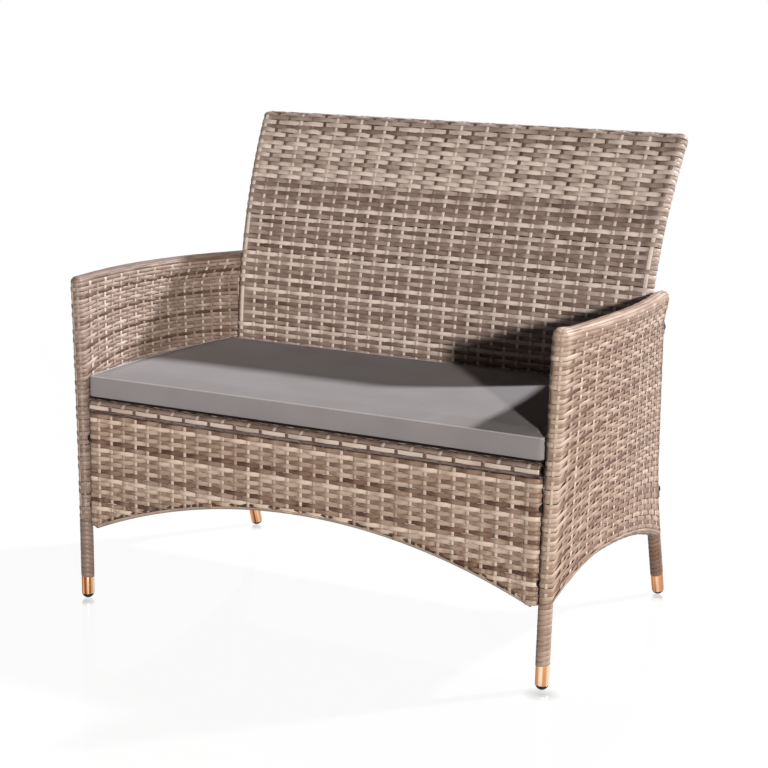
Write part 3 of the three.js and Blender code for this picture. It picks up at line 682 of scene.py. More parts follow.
levels = (-EDGE_ROWS, BACK_ROWS + EDGE_ROWS)
back_pieces.append(
    woven_stakes("back_stakes", back_skin, counts, levels, STAKE_HALF / STAKE, back_stake_tone)
)
for piece in back_pieces:
    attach(piece, "frame")
    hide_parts("back_weave")

# %% [markdown]
# ## The seat's front roll
# A tube runs across the front of the seat. Eight strands lie along it and are bound by rings, so
# from the front it shows long bricks with small dark squares between them. It is a cylinder
# unrolled: the angle round the tube takes the place of a row's height.

# %% Weave the roll
roll_low, roll_high = (np.array(corner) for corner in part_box("seat_front_roll"))
ROLL_Y, ROLL_Z = (roll_low + roll_high)[1:] / 2
ROLL_HALF = roll_high[0]
ROLL_R = 0.0104
ROLL_ROWS = 8
ROLL_INSET = 0.0005
ROLL_TURN = 0.02
ROLL_FILL = 0.98
ROLL_WAVE = 0.0006
ROLL_THICK = 0.0009
ROLL_TONES = (0.9, 0.42, 0.5, 0.6, 0.6, 0.5, 0.4, 0.26)
ROLL_DRIFT = 0.16
RING_LIFT = 0.0002
RING_THICK = 0.0007
RING_POINTS = 24
RING_TONE = 0.12
PALE_ANGLE = 0.8
PALE_REACH = 0.45
PALER = 0.7
SEAT_STAKES = 33
stake_x = ((np.arange(SEAT_STAKES) - SEAT_STAKES // 2) * STAKE)[:, None]


def roll_point(x, angle):
    """A point at this angle round the tube, 0 at the front and a quarter turn at the top."""
    x, angle = np.broadcast_arrays(x, angle)
    out = np.stack([0 * x, -np.cos(angle), np.sin(angle)], -1)
    centre = np.stack([x, 0 * x + ROLL_Y, 0 * x + ROLL_Z], -1)
    return centre + out * ROLL_R, out


def roll_strands():
    """Strands along the tube, over one ring and under the next."""
    rings = SEAT_STAKES * RINGS_PER_STAKE + 1
    x = np.linspace(-ROLL_HALF + ROLL_INSET, ROLL_HALF - ROLL_INSET, rings)[None]
    angle = ROLL_TURN + np.arange(ROLL_ROWS)[:, None] * 2 * math.pi / ROLL_ROWS
    middle, out = roll_point(x, angle)
    reach = math.pi / ROLL_ROWS * ROLL_FILL
    across = (roll_point(x, angle + reach)[0] - roll_point(x, angle - reach)[0]) / 2
    weave = np.cos(math.pi * (x / STAKE + np.arange(ROLL_ROWS)[:, None]))
    middle = middle + out * (ROLL_WAVE * weave)[..., None]
    tone = np.array(ROLL_TONES)[:, None] + ROLL_DRIFT * wander(ROLL_ROWS, rings, SEAT_STAKES)
    return strands_piece("seat_roll_rows", middle, across, out, ROLL_THICK, tone)


def roll_rings():
    """Closed rings round the tube at each stake: dark, and pale between its front and its top."""
    angle = np.linspace(0, 2 * math.pi, RING_POINTS, endpoint=False)[None]
    middle, out = roll_point(stake_x, angle)
    middle = middle + out * RING_LIFT
    across = 0 * middle - np.array([STAKE_HALF, 0, 0])
    tone = RING_TONE + PALER * (np.abs(angle - PALE_ANGLE) < PALE_REACH) + 0 * stake_x
    return strands_piece("seat_roll_rings", middle, across, out, RING_THICK, tone, True)


roll_pieces = [roll_strands(), roll_rings()]
for piece in roll_pieces:
    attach(piece, "frame")
    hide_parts("seat_front_roll")

# %% [markdown]
# ## The apron
# The panel under the seat hangs between the front legs. Its rows are level, and the arched tube
# cuts them off from below. A row above the arch is one strand; a lower one is two, with a gap
# between. At the sides they curl round the panel's own side tubes. Strands along the arch cover
# the cut ends.

# %% Outlines of the apron
APRON_Y = ROLL_Y
APRON_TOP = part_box("apron_weave")[1].z - 0.0002
APRON_FLAT = 0.40
APRON_X = 0.4291
APRON_R = 0.0096
APRON_FACE = APRON_Y - 0.0074
APRON_ARCH_TOP = 0.232
APRON_ARCH_R = 1.0900
APRON_CURL = 0.024
APRON_TUBE = 0.0095
APRON_BEND = 0.026
APRON_WAVES = (0.0012, 0.0004)
WAVE_END = 0.41
WAVE_FALL = 0.02
APRON_UNEVEN = 0.0002
APRON_DRIFT = 0.14
# How much paler the apron's falling bricks are painted: painted light.
APRON_LIT_HALF = 0.1


def apron_arch(x):
    """The arch's axis: a circle's cap."""
    return APRON_ARCH_TOP - APRON_ARCH_R + np.sqrt(APRON_ARCH_R**2 - x**2)


def apron_line(place, z):
    """A point of the apron's face at a distance from its middle. It curls back at the sides."""
    place, z = np.broadcast_arrays(place, z)
    past = np.clip(np.abs(place) - APRON_X, 0, None) / APRON_R
    way = np.sign(place)
    x = np.clip(place, -APRON_X, APRON_X) + way * APRON_R * np.sin(past)
    face = lerp(APRON_FACE, APRON_Y - APRON_R, ease((np.abs(place) - APRON_FLAT) / APRON_BEND))
    y = np.where(past > 0, APRON_Y - APRON_R * np.cos(past), face)
    out = np.stack([way * np.sin(past), -np.cos(past), 0 * past], -1)
    return np.stack([x, y, z], -1), out


def apron_strands(name, starts, ends, rows, tones):
    """Level strands between their own start and end, woven over and under the stakes."""
    rings = int(np.max(np.abs(ends - starts)) / STAKE * RINGS_PER_STAKE) + 1
    share = np.linspace(0, 1, rings)[None]
    place = lerp(starts[:, None], ends[:, None], share)
    z = APRON_TOP - (rows[:, None] + 0.5) * ROW + APRON_UNEVEN * wander(rows.size, rings, 20)
    middle, out = apron_line(place, z)
    wave = lerp(*APRON_WAVES, ease((np.abs(place) - WAVE_END) / WAVE_FALL))
    phase = place / STAKE + rows[:, None]
    middle = middle + out * (wave * over_under(phase))[..., None]
    across = np.array([0, 0, ROW * FILL]) * (1 + WIDER * brick(phase, 1))[..., None]
    tone = tones[:, None] + APRON_DRIFT * wander(rows.size, rings, 30)
    # Painted light and shade on the apron's bricks: paler falling bricks, crest highlights, shade
    # under stakes.
    tone = tone + brick_light_and_shade(phase, 1, APRON_LIT_HALF)
    return strands_piece(name, middle, across, out, STRAND_THICK, tone)


# %% Weave the apron
APRON_PATTERN = (0.4, 0.88, 0.58, 0.52, 0.58, 0.56, 0.12)
APRON_SPREAD = 0.08
APRON_STAKE_PATTERN = (0.95, 0.85, 0.7)
APRON_END = 0.140
CUT_ABOVE = 0.004
STAKE_LOW = 0.006
STAKE_TOP = 0.001
EDGE_ANGLES = (-40.0, -85, -130, -175)
EDGE_REACH = 22
EDGE_THICK = 0.001
EDGE_TONE = 0.72
EDGE_DRIFT = 0.12
apron_rows = np.arange(int((APRON_TOP - APRON_END) / ROW))
apron_tones = row_tones(APRON_PATTERN, apron_rows.size, APRON_SPREAD)
cut_z = APRON_TOP - (apron_rows + 0.5) * ROW + CUT_ABOVE
whole = cut_z > APRON_ARCH_TOP
rise = np.clip(APRON_ARCH_TOP - cut_z, 0, None)
cut_x = np.sqrt(APRON_ARCH_R**2 - (APRON_ARCH_R - rise) ** 2)
reach = APRON_X + APRON_CURL
ends = np.full(apron_rows.size, reach)
apron_pieces = [
    apron_strands(name, starts[kept], stops[kept], apron_rows[kept], apron_tones[kept])
    for name, starts, stops, kept in (
        ("apron_whole_rows", -ends, ends, whole),
        ("apron_left_rows", -ends, -cut_x, ~whole),
        ("apron_right_rows", cut_x, ends, ~whole),
    )
]


def apron_stakes():
    """Upright strands from the arch to the top, behind and before the rows' middle."""
    share = np.linspace(0, 1, 12)[None]
    z = lerp(apron_arch(stake_x) - STAKE_LOW, APRON_TOP - STAKE_TOP, share)
    middle, out = apron_line(stake_x, z)
    across = 0 * middle - np.array([STAKE_HALF, 0, 0])
    tone = row_tones(APRON_STAKE_PATTERN, SEAT_STAKES, STAKE_SPREAD)[:, None] + 0 * z
    return strands_piece("apron_stakes", middle, across, out, STAKE_THICK, tone)


def apron_edge():
    """Strands along the arched tube, side by side round its lower half."""
    x = np.linspace(-APRON_X, APRON_X, 120)[None]
    angle = np.radians(EDGE_ANGLES)[:, None]
    slope = -x / np.sqrt(APRON_ARCH_R**2 - x**2)
    upward = unit(np.stack([-slope, 0 * slope, 1 + 0 * slope], -1))

    def point(turn):
        out = np.array([0, -1.0, 0]) * np.cos(turn)[..., None] + upward * np.sin(turn)[..., None]
        centre = np.stack([x, 0 * x + APRON_Y, apron_arch(x)], -1)
        return centre + out * APRON_TUBE, out

    middle, out = point(angle)
    reach = math.radians(EDGE_REACH)
    across = (point(angle + reach)[0] - point(angle - reach)[0]) / 2
    tone = EDGE_TONE + EDGE_DRIFT * wander(angle.size, x.size, SEAT_STAKES)
    return strands_piece("apron_arch_edge", middle, across, out, EDGE_THICK, tone)


apron_pieces += [apron_stakes(), apron_edge()]
for piece in apron_pieces:
    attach(piece, "frame")
    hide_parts("apron_weave")

# %% [markdown]
# ## The seat deck
# Under the cushion the seat is a flat weave of wider straps. It is seen only from below or with
# the cushion lifted, so its straps are wide and few. Two flat grids, one for each way, wave over
# and under each other.

# %% Weave the deck
deck_low, deck_high = (np.array(corner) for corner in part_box("seat_deck_weave"))
DECK_Z = (deck_low[2] + deck_high[2]) / 2
DECK_STRAP = 0.0152
DECK_FILL = 0.49
DECK_WAVE = 0.0006
DECK_THICK = 0.0008
DECK_NARROWS = 0.0011
DECK_TONE = 0.5
DECK_DRIFT = 0.15


def deck_half(y):
    """Half the deck's width, a little narrower towards the rear."""
    share = (y - deck_low[1]) / (deck_high[1] - deck_low[1])
    return lerp(deck_high[0], deck_high[0] - DECK_NARROWS, share)


def deck_straps(name, lengthwise):
    """Straps along one way of the deck, over and under those along the other way."""
    ways = [deck_high[0] * 2, deck_high[1] - deck_low[1]]
    long_side, short_side = ways if lengthwise else ways[::-1]
    straps = int(short_side / DECK_STRAP)
    rings = int(long_side / DECK_STRAP) * 2 + 1
    share = np.linspace(-1, 1, rings)[None]
    row = (np.arange(straps)[:, None] + 0.5) / straps * 2 - 1
    if lengthwise:
        y = lerp(deck_low[1], deck_high[1], (row + 1) / 2)
        x = share * deck_half(y)
        across = np.array([0, DECK_STRAP * DECK_FILL, 0])
    else:
        y = lerp(deck_low[1], deck_high[1], (share + 1) / 2)
        x = row * deck_half(y)
        across = np.array([-DECK_STRAP * DECK_FILL, 0, 0])
    x, y = np.broadcast_arrays(x, y)
    phase = np.arange(rings)[None] / 2 + np.arange(straps)[:, None]
    wave = (DECK_WAVE if lengthwise else -DECK_WAVE) * np.cos(math.pi * phase)
    middle = np.stack([x, y, DECK_Z + wave], -1)
    out = 0 * middle + np.array([0, 0, 1.0])
    tone = DECK_TONE + DECK_DRIFT * wander(straps, rings, 20)
    return strands_piece(name, middle, 0 * middle + across, out, DECK_THICK, tone)


deck_pieces = [deck_straps("deck_cross_straps", True), deck_straps("deck_depth_straps", False)]
for piece in deck_pieces:
    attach(piece, "frame")
    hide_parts("seat_deck_weave")

# %% [markdown]
# ## The cushion
# A foam slab in a sewn cover. It is boxy: a flat top and bottom, an upright border all round, and
# seams where they meet. A grid of points is laid over a block, then Blender's cloth is blown up a
# little from inside, so that the panels crown and the border bulges between the seams, and the
# result is kept as the mesh. The seams are added afterwards, along the same points.

# %% Lay out the cushion
cover_low, cover_high = (np.array(corner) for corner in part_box("cushion_cover"))
ARM_TUBE = 0.013
CUSHION_SIDE = 0.0015
CUSHION_LOW = cover_low[2]
CUSHION_THICK = 0.045
CUSHION_CROWN = 0.002
BLOCK_HALF_X = 0.436
SHRINK = 0.0022
EDGE_R = 0.0085
FRONT_DRAWN = 0.006
SIDE_HOLLOW = 0.003
TOWARDS_EDGES = 1.5
CELLS = (120, 62, 8)


def round_edges(shares):
    """Shares of a block, with every point outside a smaller block drawn to one radius from it."""
    half = np.array([BLOCK_HALF_X, (cover_high[1] - cover_low[1]) / 2, CUSHION_THICK / 2])
    place = shares * half
    inner = np.clip(place, EDGE_R - half, half - EDGE_R)
    return (inner + EDGE_R * unit(place - inner)) / half


def cushion_shape(a, b, c):
    """A block of shares from -1 to 1: sides along the arms, front drawn in, top crowned."""
    depth = (cover_high[1] - cover_low[1]) / 2
    y = (cover_low[1] + cover_high[1]) / 2 + b * (depth - SHRINK) * (1 - FRONT_DRAWN * (1 - a**2))
    side = arm_x(y - FRONT_Y, CUSHION_LOW) - ARM_TUBE - CUSHION_SIDE - SIDE_HOLLOW * (1 - b**2)
    x = a * (side - SHRINK)
    crown = CUSHION_CROWN * (1 - a**4) * (1 - b**4) * np.clip(c, 0, 1)
    z = CUSHION_LOW + CUSHION_THICK / 2 + c * (CUSHION_THICK / 2 - SHRINK / 2) + crown
    return np.stack([x, y, z], -1)


def block_grid(cells):
    """Numbers and shares of the points on the outside of a block of cells, and its faces."""
    nx, ny, nz = cells
    index = np.full((nx + 1, ny + 1, nz + 1), -1)
    shell = np.ones_like(index, bool)
    shell[1:-1, 1:-1, 1:-1] = False
    index[shell] = np.arange(shell.sum())
    i, j, k = np.nonzero(shell)
    shares = np.stack([2 * i / nx - 1, 2 * j / ny - 1, 2 * k / nz - 1], -1)
    faces = []
    for axis in range(3):
        for end, turned in ((0, axis != 1), (-1, axis == 1)):
            sheet = np.take(index, end, axis=axis)
            quad = np.stack([sheet[:-1, :-1], sheet[1:, :-1], sheet[1:, 1:], sheet[:-1, 1:]], -1)
            quad = quad.reshape(-1, 4)
            faces.append(quad[:, ::-1] if turned else quad)
    return index, shares, np.concatenate(faces)


index, shares, quads = block_grid(CELLS)
rounded = round_edges(np.sign(shares) * (1 - (1 - np.abs(shares)) ** TOWARDS_EDGES))
laid_out = cushion_shape(*rounded.T)
cushion = mesh_piece("seat_cushion", laid_out, quads)
print("cushion points:", len(shares))

# %% [markdown]
# The cloth is pinned along its seams, where the real cover is stitched and stiff. Pressure then
# lifts only the panels. How far a point may move is capped, so that the cushion stays in the
# space that the frame leaves it.

# %% Blow the cushion up
CLOTH_FRAMES = 20
CLOTH = {
    "vertex_group_mass": "seams", "use_pressure": True, "uniform_pressure_force": 4.0,
    "tension_stiffness": 25, "bending_stiffness": 2, "quality": 5,
}
SEAM_HOLD = 0.9
MOST_SWELL = 0.0035
OFF_THE_SEAT = 0.0002


def seam_points(index):
    """The points of the two seams: the edges between the border and the top and bottom."""
    shell = np.zeros_like(index, bool)
    for k in (0, -1):
        shell[[0, -1], :, k] = True
        shell[:, [0, -1], k] = True
    return index[shell & (index >= 0)]


def blow_up(piece):
    """The mesh's points after the cloth has settled under pressure, with their moves capped."""
    pins = piece.vertex_groups.new(name="seams")
    pins.add([int(number) for number in seam_points(index)], SEAM_HOLD, "REPLACE")
    cloth = piece.modifiers.new("cloth", "CLOTH")
    for setting, value in CLOTH.items():
        setattr(cloth.settings, setting, value)
    cloth.settings.effector_weights.gravity = 0
    cloth.point_cache.frame_start = 1
    cloth.point_cache.frame_end = CLOTH_FRAMES
    for number in range(1, CLOTH_FRAMES + 1):
        bpy.context.scene.frame_set(number)
    settled = piece.evaluated_get(bpy.context.evaluated_depsgraph_get()).data
    after = np.zeros(len(settled.vertices) * 3, np.float32)
    settled.vertices.foreach_get("co", after)
    move = after.reshape(-1, 3) - laid_out
    size = np.linalg.norm(move, axis=1, keepdims=True)
    move *= np.minimum(1, MOST_SWELL / np.maximum(size, SMALL))
    piece.modifiers.remove(cloth)
    piece.vertex_groups.remove(pins)
    bpy.context.scene.frame_set(1)
    print("cushion swells by up to", round(float(size.max()), 4))
    return laid_out + move


points = blow_up(cushion)
points = points.astype(np.float32).astype(float)
points[:, 2] = np.maximum(points[:, 2], CUSHION_LOW + OFF_THE_SEAT)
cushion.data.vertices.foreach_set("co", points.astype(np.float32).ravel())
cushion.data.update()
smooth = cushion.modifiers.new("rounded", "SUBSURF")
smooth.levels = smooth.render_levels = 1

# %% [markdown]
# At the top the border is joined by a thin raised seam, coloured pale as a painted highlight along
# the edge. At the bottom a near-black seam roll paints the shade line under the cushion. Each could
# be a curve with a bevel, but a circle carried round the mesh's own edge points follows the
# blown-up cushion without a gap.

# %% Sew the seams
TOP_SEAM_R = 0.0014
# The bottom roll is thick and near black: a line of painted shade under the cushion.
BOTTOM_SEAM_SHADE_R = 0.0027
SEAM_SIDES = 6
SEAM_INSET = 0.0005
SEAM_RISE = {-1: -0.0003, 0: 0.0009}


def seam_roll(name, k, radius):
    """A thin roll along the cushion's edge points on one level: a circle carried round a loop."""
    level = index[:, :, k]
    edge = np.concatenate([level[:-1, 0], level[-1, :-1], level[:0:-1, -1], level[0, :0:-1]])
    middle = points[edge]
    travel = unit(np.roll(middle, -1, 0) - np.roll(middle, 1, 0))
    upward = np.array([0, 0, 1.0])
    outward = unit(np.cross(travel, upward))
    angle = np.arange(SEAM_SIDES) / SEAM_SIDES * 2 * math.pi
    inset = SEAM_RISE[k] * upward - SEAM_INSET * outward
    ring = outward[:, None] * np.cos(angle)[:, None] + upward * np.sin(angle)[:, None]
    rolls = middle[:, None] + inset[:, None] + ring * radius
    a = np.arange(len(edge))[:, None]
    m = np.arange(SEAM_SIDES)[None]

    def number(along, side):
        return along % len(edge) * SEAM_SIDES + side % SEAM_SIDES

    quads = np.stack([number(a, m), number(a + 1, m), number(a + 1, m + 1), number(a, m + 1)], -1)
    return mesh_piece(name, rolls.reshape(-1, 3), quads.reshape(-1, 4)[:, ::-1])


seams = [
    seam_roll("cushion_top_seam", -1, TOP_SEAM_R),
    seam_roll("cushion_bottom_seam_painted_dark", 0, BOTTOM_SEAM_SHADE_R),
]
for piece in [cushion, *seams]:
    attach(piece, "cushion")
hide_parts("cushion_cover", "cushion_foam")

# %% [markdown]
# ## Feet and fasteners
# Round parts are profiles turned about an axis: copper-coloured sleeves over the feet, domed
# plastic glides in them, domed bolt heads and the discs between the apron and the legs. Sleeves,
# glides and rear bolts follow the legs' own lines; the front bolts and the discs take their place
# from the boxes of the CAD nodes that they replace.

# %% Turned pieces
TURNED_SIDES = 40


def turned(name, profile, place, way):
    """A profile of radius and height pairs turned about an axis through the place."""
    profile = np.asarray(profile, float)
    way = unit(np.asarray(way, float))
    guess = np.array([0, 1.0, 0]) if abs(way[1]) < 0.9 else np.array([1.0, 0, 0])
    first = unit(np.cross(guess, way))
    second = np.cross(way, first)
    angle = np.arange(TURNED_SIDES) / TURNED_SIDES * 2 * math.pi
    ring = first * np.cos(angle)[:, None] + second * np.sin(angle)[:, None]
    points = np.asarray(place) + ring[None] * profile[:, :1, None] + way * profile[:, 1:, None]
    k = np.arange(len(profile) - 1)[:, None]
    m = np.arange(TURNED_SIDES)[None]
    after = (m + 1) % TURNED_SIDES
    n = TURNED_SIDES
    quads = np.stack([k * n + m, k * n + after, (k + 1) * n + after, (k + 1) * n + m], -1)
    spot = np.broadcast_arrays(np.cos(angle), np.sin(angle), profile[:, 1:])
    strand = np.stack(spot, -1).reshape(-1, 3) + np.asarray(place)
    piece = mesh_piece(name, points.reshape(-1, 3), quads.reshape(-1, 4), 0 * strand[:, 0], strand)
    close_poles(piece.data)
    return piece


def close_poles(mesh):
    """Points at the same place become one, which closes a profile's poles and its own seam."""
    shape = bmesh.new()
    shape.from_mesh(mesh)
    bmesh.ops.remove_doubles(shape, verts=shape.verts, dist=1e-6)
    bmesh.ops.recalc_face_normals(shape, faces=shape.faces)
    shape.to_mesh(mesh)
    shape.free()


def arc(radius, centre, low, high, count):
    """Radius and height pairs along a circle about a centre on the axis, angles in degrees."""
    angle = np.radians(np.linspace(low, high, count))
    across = np.where(np.abs(angle) < 1.57, radius * np.cos(angle), 0)
    return list(zip(across.tolist(), (centre + radius * np.sin(angle)).tolist()))


# %% Turn the feet
SLEEVE_R = 0.0115
SLEEVE_IN = 0.0098
SLEEVE_LOW = 0.0089
LIP = 0.0006
GLIDE_R = 0.0112
GLIDE_CENTRE = 0.0113
GLIDE_RIM = [(0.0108, 0.0086), (0.0096, 0.0087), (0.0088, 0.0092), (0.0088, 0.02), (0, 0.02)]
round_pieces = []


def sleeve_profile(length):
    """A closed ring of wall, with its outer corners rounded and its lip turned in a little."""
    low = [(SLEEVE_IN, LIP), (SLEEVE_IN + LIP, 0), (SLEEVE_R - 2 * LIP, 0)]
    low += [(SLEEVE_R - 0.6 * LIP, 0.4 * LIP), (SLEEVE_R - 0.2 * LIP, LIP), (SLEEVE_R, 2.2 * LIP)]
    high = [(SLEEVE_R, length / 2), (SLEEVE_R, length - 2 * LIP)]
    high += [(SLEEVE_R - 0.3 * LIP, length - 0.6 * LIP), (SLEEVE_R - LIP, length)]
    return [*low, *high, (SLEEVE_IN + LIP, length), (SLEEVE_IN, length - LIP), (SLEEVE_IN, LIP)]


def foot_pieces(side, end, path, sign):
    """The sleeve and the glide of one leg, along the leg's own axis."""
    low, high = path(np.array([SLEEVE_LOW, SLEEVE_HIGH])) * (sign, 1, 1)
    way = unit(high - low)
    foot = low - way * (low[2] / way[2])
    wall = sleeve_profile((SLEEVE_HIGH - SLEEVE_LOW) / way[2])
    dome = arc(GLIDE_R, GLIDE_CENTRE / way[2], -90, -16, 9)
    sleeve = turned(f"{side}_{end}_sleeve", wall, low, way)
    glide = turned(f"{side}_{end}_glide", dome[:-1] + GLIDE_RIM, foot, way)
    parts = (sleeve, "sleeve", "copper_sleeve"), (glide, "glide", "black_plastic")
    for piece, node, slot in parts:
        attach(piece, "frame")
        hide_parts(f"{side}_{end}_foot_{node}")
        round_pieces.append((piece, slot))


for side, sign in (("left", -1), ("right", 1)):
    for end, path in (("front", front_leg_path), ("rear", rear_leg_path)):
        foot_pieces(side, end, path, sign)

# %% [markdown]
# Short bolts hold the seat to the front legs, with a black disc in the gap, and larger ones with
# round heads hold the back behind the rear legs. They all share one crown, scaled to each head.

# %% Turn the bolts and spacers
SPACER_R = 0.008
BOLT_R = 0.003
CHAMFER = 0.0004
FRONT_HEAD = (0.006, 0.0045)
REAR_HEAD = (0.0094, 0.0082)
REAR_OFF = 0.0188
REAR_SHAFT = 0.0128
LEG_SPAN = 0.03
CROWN = [(0, -0.55), (0.3, -0.55), (0.32, -0.99), (0.6, -0.88), (0.85, -0.6), (1, -0.25), (1, 0)]


def bolt_profile(head, length):
    """A low dome with a short rim, a small recess in its crown, and a plain shaft behind it."""
    crown = [(across * head[0], high * head[1]) for across, high in CROWN]
    return [*crown, (BOLT_R, 0), (BOLT_R, length), (0, length)]


def disc_profile(thick):
    """A flat ring with its outer corners cut off."""
    inner, outer = BOLT_R + CHAMFER, SPACER_R - CHAMFER
    rim = [(inner, 0), (outer, 0), (SPACER_R, CHAMFER), (SPACER_R, thick - CHAMFER), (outer, thick)]
    return [*rim, (inner, thick), (inner, 0)]


def fastener(node, profile, place, way, slot):
    """One turned piece in the place of a CAD node."""
    piece = turned(f"{node}_piece", profile, place, way)
    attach(piece, "frame")
    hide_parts(node)
    round_pieces.append((piece, slot))


def box_and_middle(node):
    """The lowest and highest corner of a CAD node, and the point halfway."""
    low, high = (np.array(corner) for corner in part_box(node))
    return low, high, (low + high) / 2


for side, sign in (("left", -1), ("right", 1)):
    for level in ("upper", "lower"):
        node = f"{side}_front_{level}_bolt"
        low, high, middle = box_and_middle(node)
        inner, outer = sorted((low[0], high[0]), key=abs)
        place = (inner + sign * FRONT_HEAD[1], middle[1], middle[2])
        shaft = abs(outer - inner) - FRONT_HEAD[1]
        fastener(node, bolt_profile(FRONT_HEAD, shaft), place, (sign, 0, 0), "black_bolt")
        node = f"{side}_front_{level}_spacer"
        low, high, middle = box_and_middle(node)
        profile = disc_profile(high[0] - low[0])
        fastener(node, profile, (low[0], middle[1], middle[2]), (1, 0, 0), "black_plastic")
        node = f"{side}_rear_{level}_bolt"
        z = box_and_middle(node)[2][2]
        lean = (rear_leg_y(z + LEG_SPAN) - rear_leg_y(z - LEG_SPAN)) / (2 * LEG_SPAN)
        way = -unit(np.array([0, 1, -lean]))
        place = np.array([sign * rear_x(z), FRONT_Y + rear_leg_y(z), z]) - way * REAR_OFF
        fastener(node, bolt_profile(REAR_HEAD, REAR_SHAFT), place, way, "black_bolt")
print("turned pieces:", len(round_pieces))

# %% [markdown]
# ## Materials
# The woven plastic is one finish: its colour comes from the strand's tone, with fine fibres along
# it, edges darkened as painted shade of the grooves between strands, and faint ribs. The fibres and
# the speckle are node groups, because the roll and the winding use them too. Colours are written as
# they look on a screen and turned to linear.

# %% Node helpers
def colour(red, green, blue):
    """A screen colour from 0 to 255 as linear light."""
    share = np.array([red, green, blue]) / 255
    linear = np.where(share <= 0.04045, share / 12.92, ((share + 0.055) / 1.055) ** 2.4)
    return (*linear.tolist(), 1.0)


def node(tree, kind, inputs=None, **settings):
    """A node of that kind. Each input is a plain value or another node's output."""
    made = tree.nodes.new(kind)
    for key, value in settings.items():
        setattr(made, key, value)
    for key, value in (inputs or {}).items():
        if isinstance(value, bpy.types.NodeSocket):
            tree.links.new(value, made.inputs[key])
        else:
            made.inputs[key].default_value = value
    return made


def maths(tree, operation, first, second=0.0, third=0.0):
    """The output of a Math node."""
    made = node(tree, "ShaderNodeMath", {0: first, 1: second, 2: third}, operation=operation)
    return made.outputs[0]


def blank(name):
    """A material with only its output, and that output node."""
    material = bpy.data.materials.new(name)
    material.use_nodes = True
    material.node_tree.nodes.clear()
    return material, material.node_tree, material.node_tree.nodes.new("ShaderNodeOutputMaterial")


def ramp(tree, factor, places, shades):
    """The colour output of a ramp with screen colours at these places."""
    made = node(tree, "ShaderNodeValToRGB", {"Fac": factor})
    while len(made.color_ramp.elements) < len(places):
        made.color_ramp.elements.new(0.5)
    for element, place, shade in zip(made.color_ramp.elements, places, shades):
        element.position = place
        element.color = colour(*shade)
    return made.outputs["Color"]


def spread(tree, value, low, high, **settings):
    """A value from 0 to 1 spread between two others."""
    inputs = {"Value": value, "To Min": low, "To Max": high, **settings}
    return node(tree, "ShaderNodeMapRange", inputs).outputs[0]


def mixed_colour(tree, factor, first, second):
    """Two colours mixed. Each is a plain colour or another node's output."""
    inputs = {"Factor": factor, 6: first, 7: second}
    return node(tree, "ShaderNodeMix", inputs, data_type="RGBA").outputs[2]


def noise(tree, vector, scale, detail):
    """The value of a noise texture."""
    inputs = {"Vector": vector, "Scale": scale, "Detail": detail}
    return node(tree, "ShaderNodeTexNoise", inputs).outputs["Fac"]


def bumps(tree, strength, distance, height, **normal):
    """A normal bent by a height."""
    inputs = {"Strength": strength, "Distance": distance, "Height": height, **normal}
    return node(tree, "ShaderNodeBump", inputs).outputs[0]


def used_group(tree, group_tree, **inputs):
    """A node that uses a node group."""
    made = tree.nodes.new("ShaderNodeGroup")
    made.node_tree = group_tree
    for key, value in inputs.items():
        if isinstance(value, bpy.types.NodeSocket):
            tree.links.new(value, made.inputs[key])
        else:
            made.inputs[key].default_value = value
    return made.outputs


def shaded(made, base, rough, normal, others):
    """The material with one Principled shader: colour, roughness, normal and plain values."""
    material, tree, output = made
    inputs = {"Base Color": base, "Roughness": rough, "Normal": normal, **others}
    shader = node(tree, "ShaderNodeBsdfPrincipled", inputs)
    tree.links.new(shader.outputs[0], output.inputs[0])
    return material


# %% [markdown]
# A node group is a small network that several materials use. The first turns a place on a strand
# into fibres, edges and ribs; the second gives fine grain at any scale.

# %% Groups for fibres and speckle
def group(name, ins, outs):
    """An empty node group with named sockets, and its input and output nodes."""
    tree = bpy.data.node_groups.new(name, "ShaderNodeTree")
    for socket, kind in ins:
        tree.interface.new_socket(socket, in_out="INPUT", socket_type=kind)
    for socket, kind in outs:
        tree.interface.new_socket(socket, in_out="OUTPUT", socket_type=kind)
    return tree, tree.nodes.new("NodeGroupInput"), tree.nodes.new("NodeGroupOutput")


FLOAT, VECTOR = "NodeSocketFloat", "NodeSocketVector"
STREAK_SCALES = (22.0, 2.2, 3.7)
RIBS = 14.0
fibres, inside, outside = group(
    "strand_fibres",
    [("Strand", VECTOR), ("Tone", FLOAT), ("Streak", FLOAT)],
    [("Tone", FLOAT), ("Edge", FLOAT), ("Height", FLOAT)],
)
place = node(fibres, "ShaderNodeSeparateXYZ", {0: inside.outputs["Strand"]}).outputs
scaled = [maths(fibres, "MULTIPLY", place[axis], scale) for axis, scale in enumerate(STREAK_SCALES)]
streaked = node(fibres, "ShaderNodeCombineXYZ", dict(enumerate(scaled))).outputs[0]
streaks = noise(fibres, streaked, 1.0, 4.0)
off_middle = maths(fibres, "SUBTRACT", streaks, 0.5)
shift = maths(fibres, "MULTIPLY", off_middle, inside.outputs["Streak"])
ribs = maths(fibres, "SINE", maths(fibres, "MULTIPLY", place[1], RIBS))
for socket, value in (
    ("Tone", maths(fibres, "ADD", inside.outputs["Tone"], shift)),
    # Edge: 1 at a strand's edges, where the material paints groove shade.
    ("Edge", maths(fibres, "POWER", maths(fibres, "ABSOLUTE", place[1]), 8.0)),
    ("Height", maths(fibres, "MULTIPLY_ADD", ribs, 0.25, streaks)),
):
    fibres.links.new(value, outside.inputs[socket])

speckle, inside, outside = group("fine_speckle", [("Scale", FLOAT)], [("Amount", FLOAT)])
where = node(speckle, "ShaderNodeTexCoord").outputs["Object"]
grain = noise(speckle, where, inside.outputs["Scale"], 3.0)
speckle.links.new(grain, outside.inputs["Amount"])

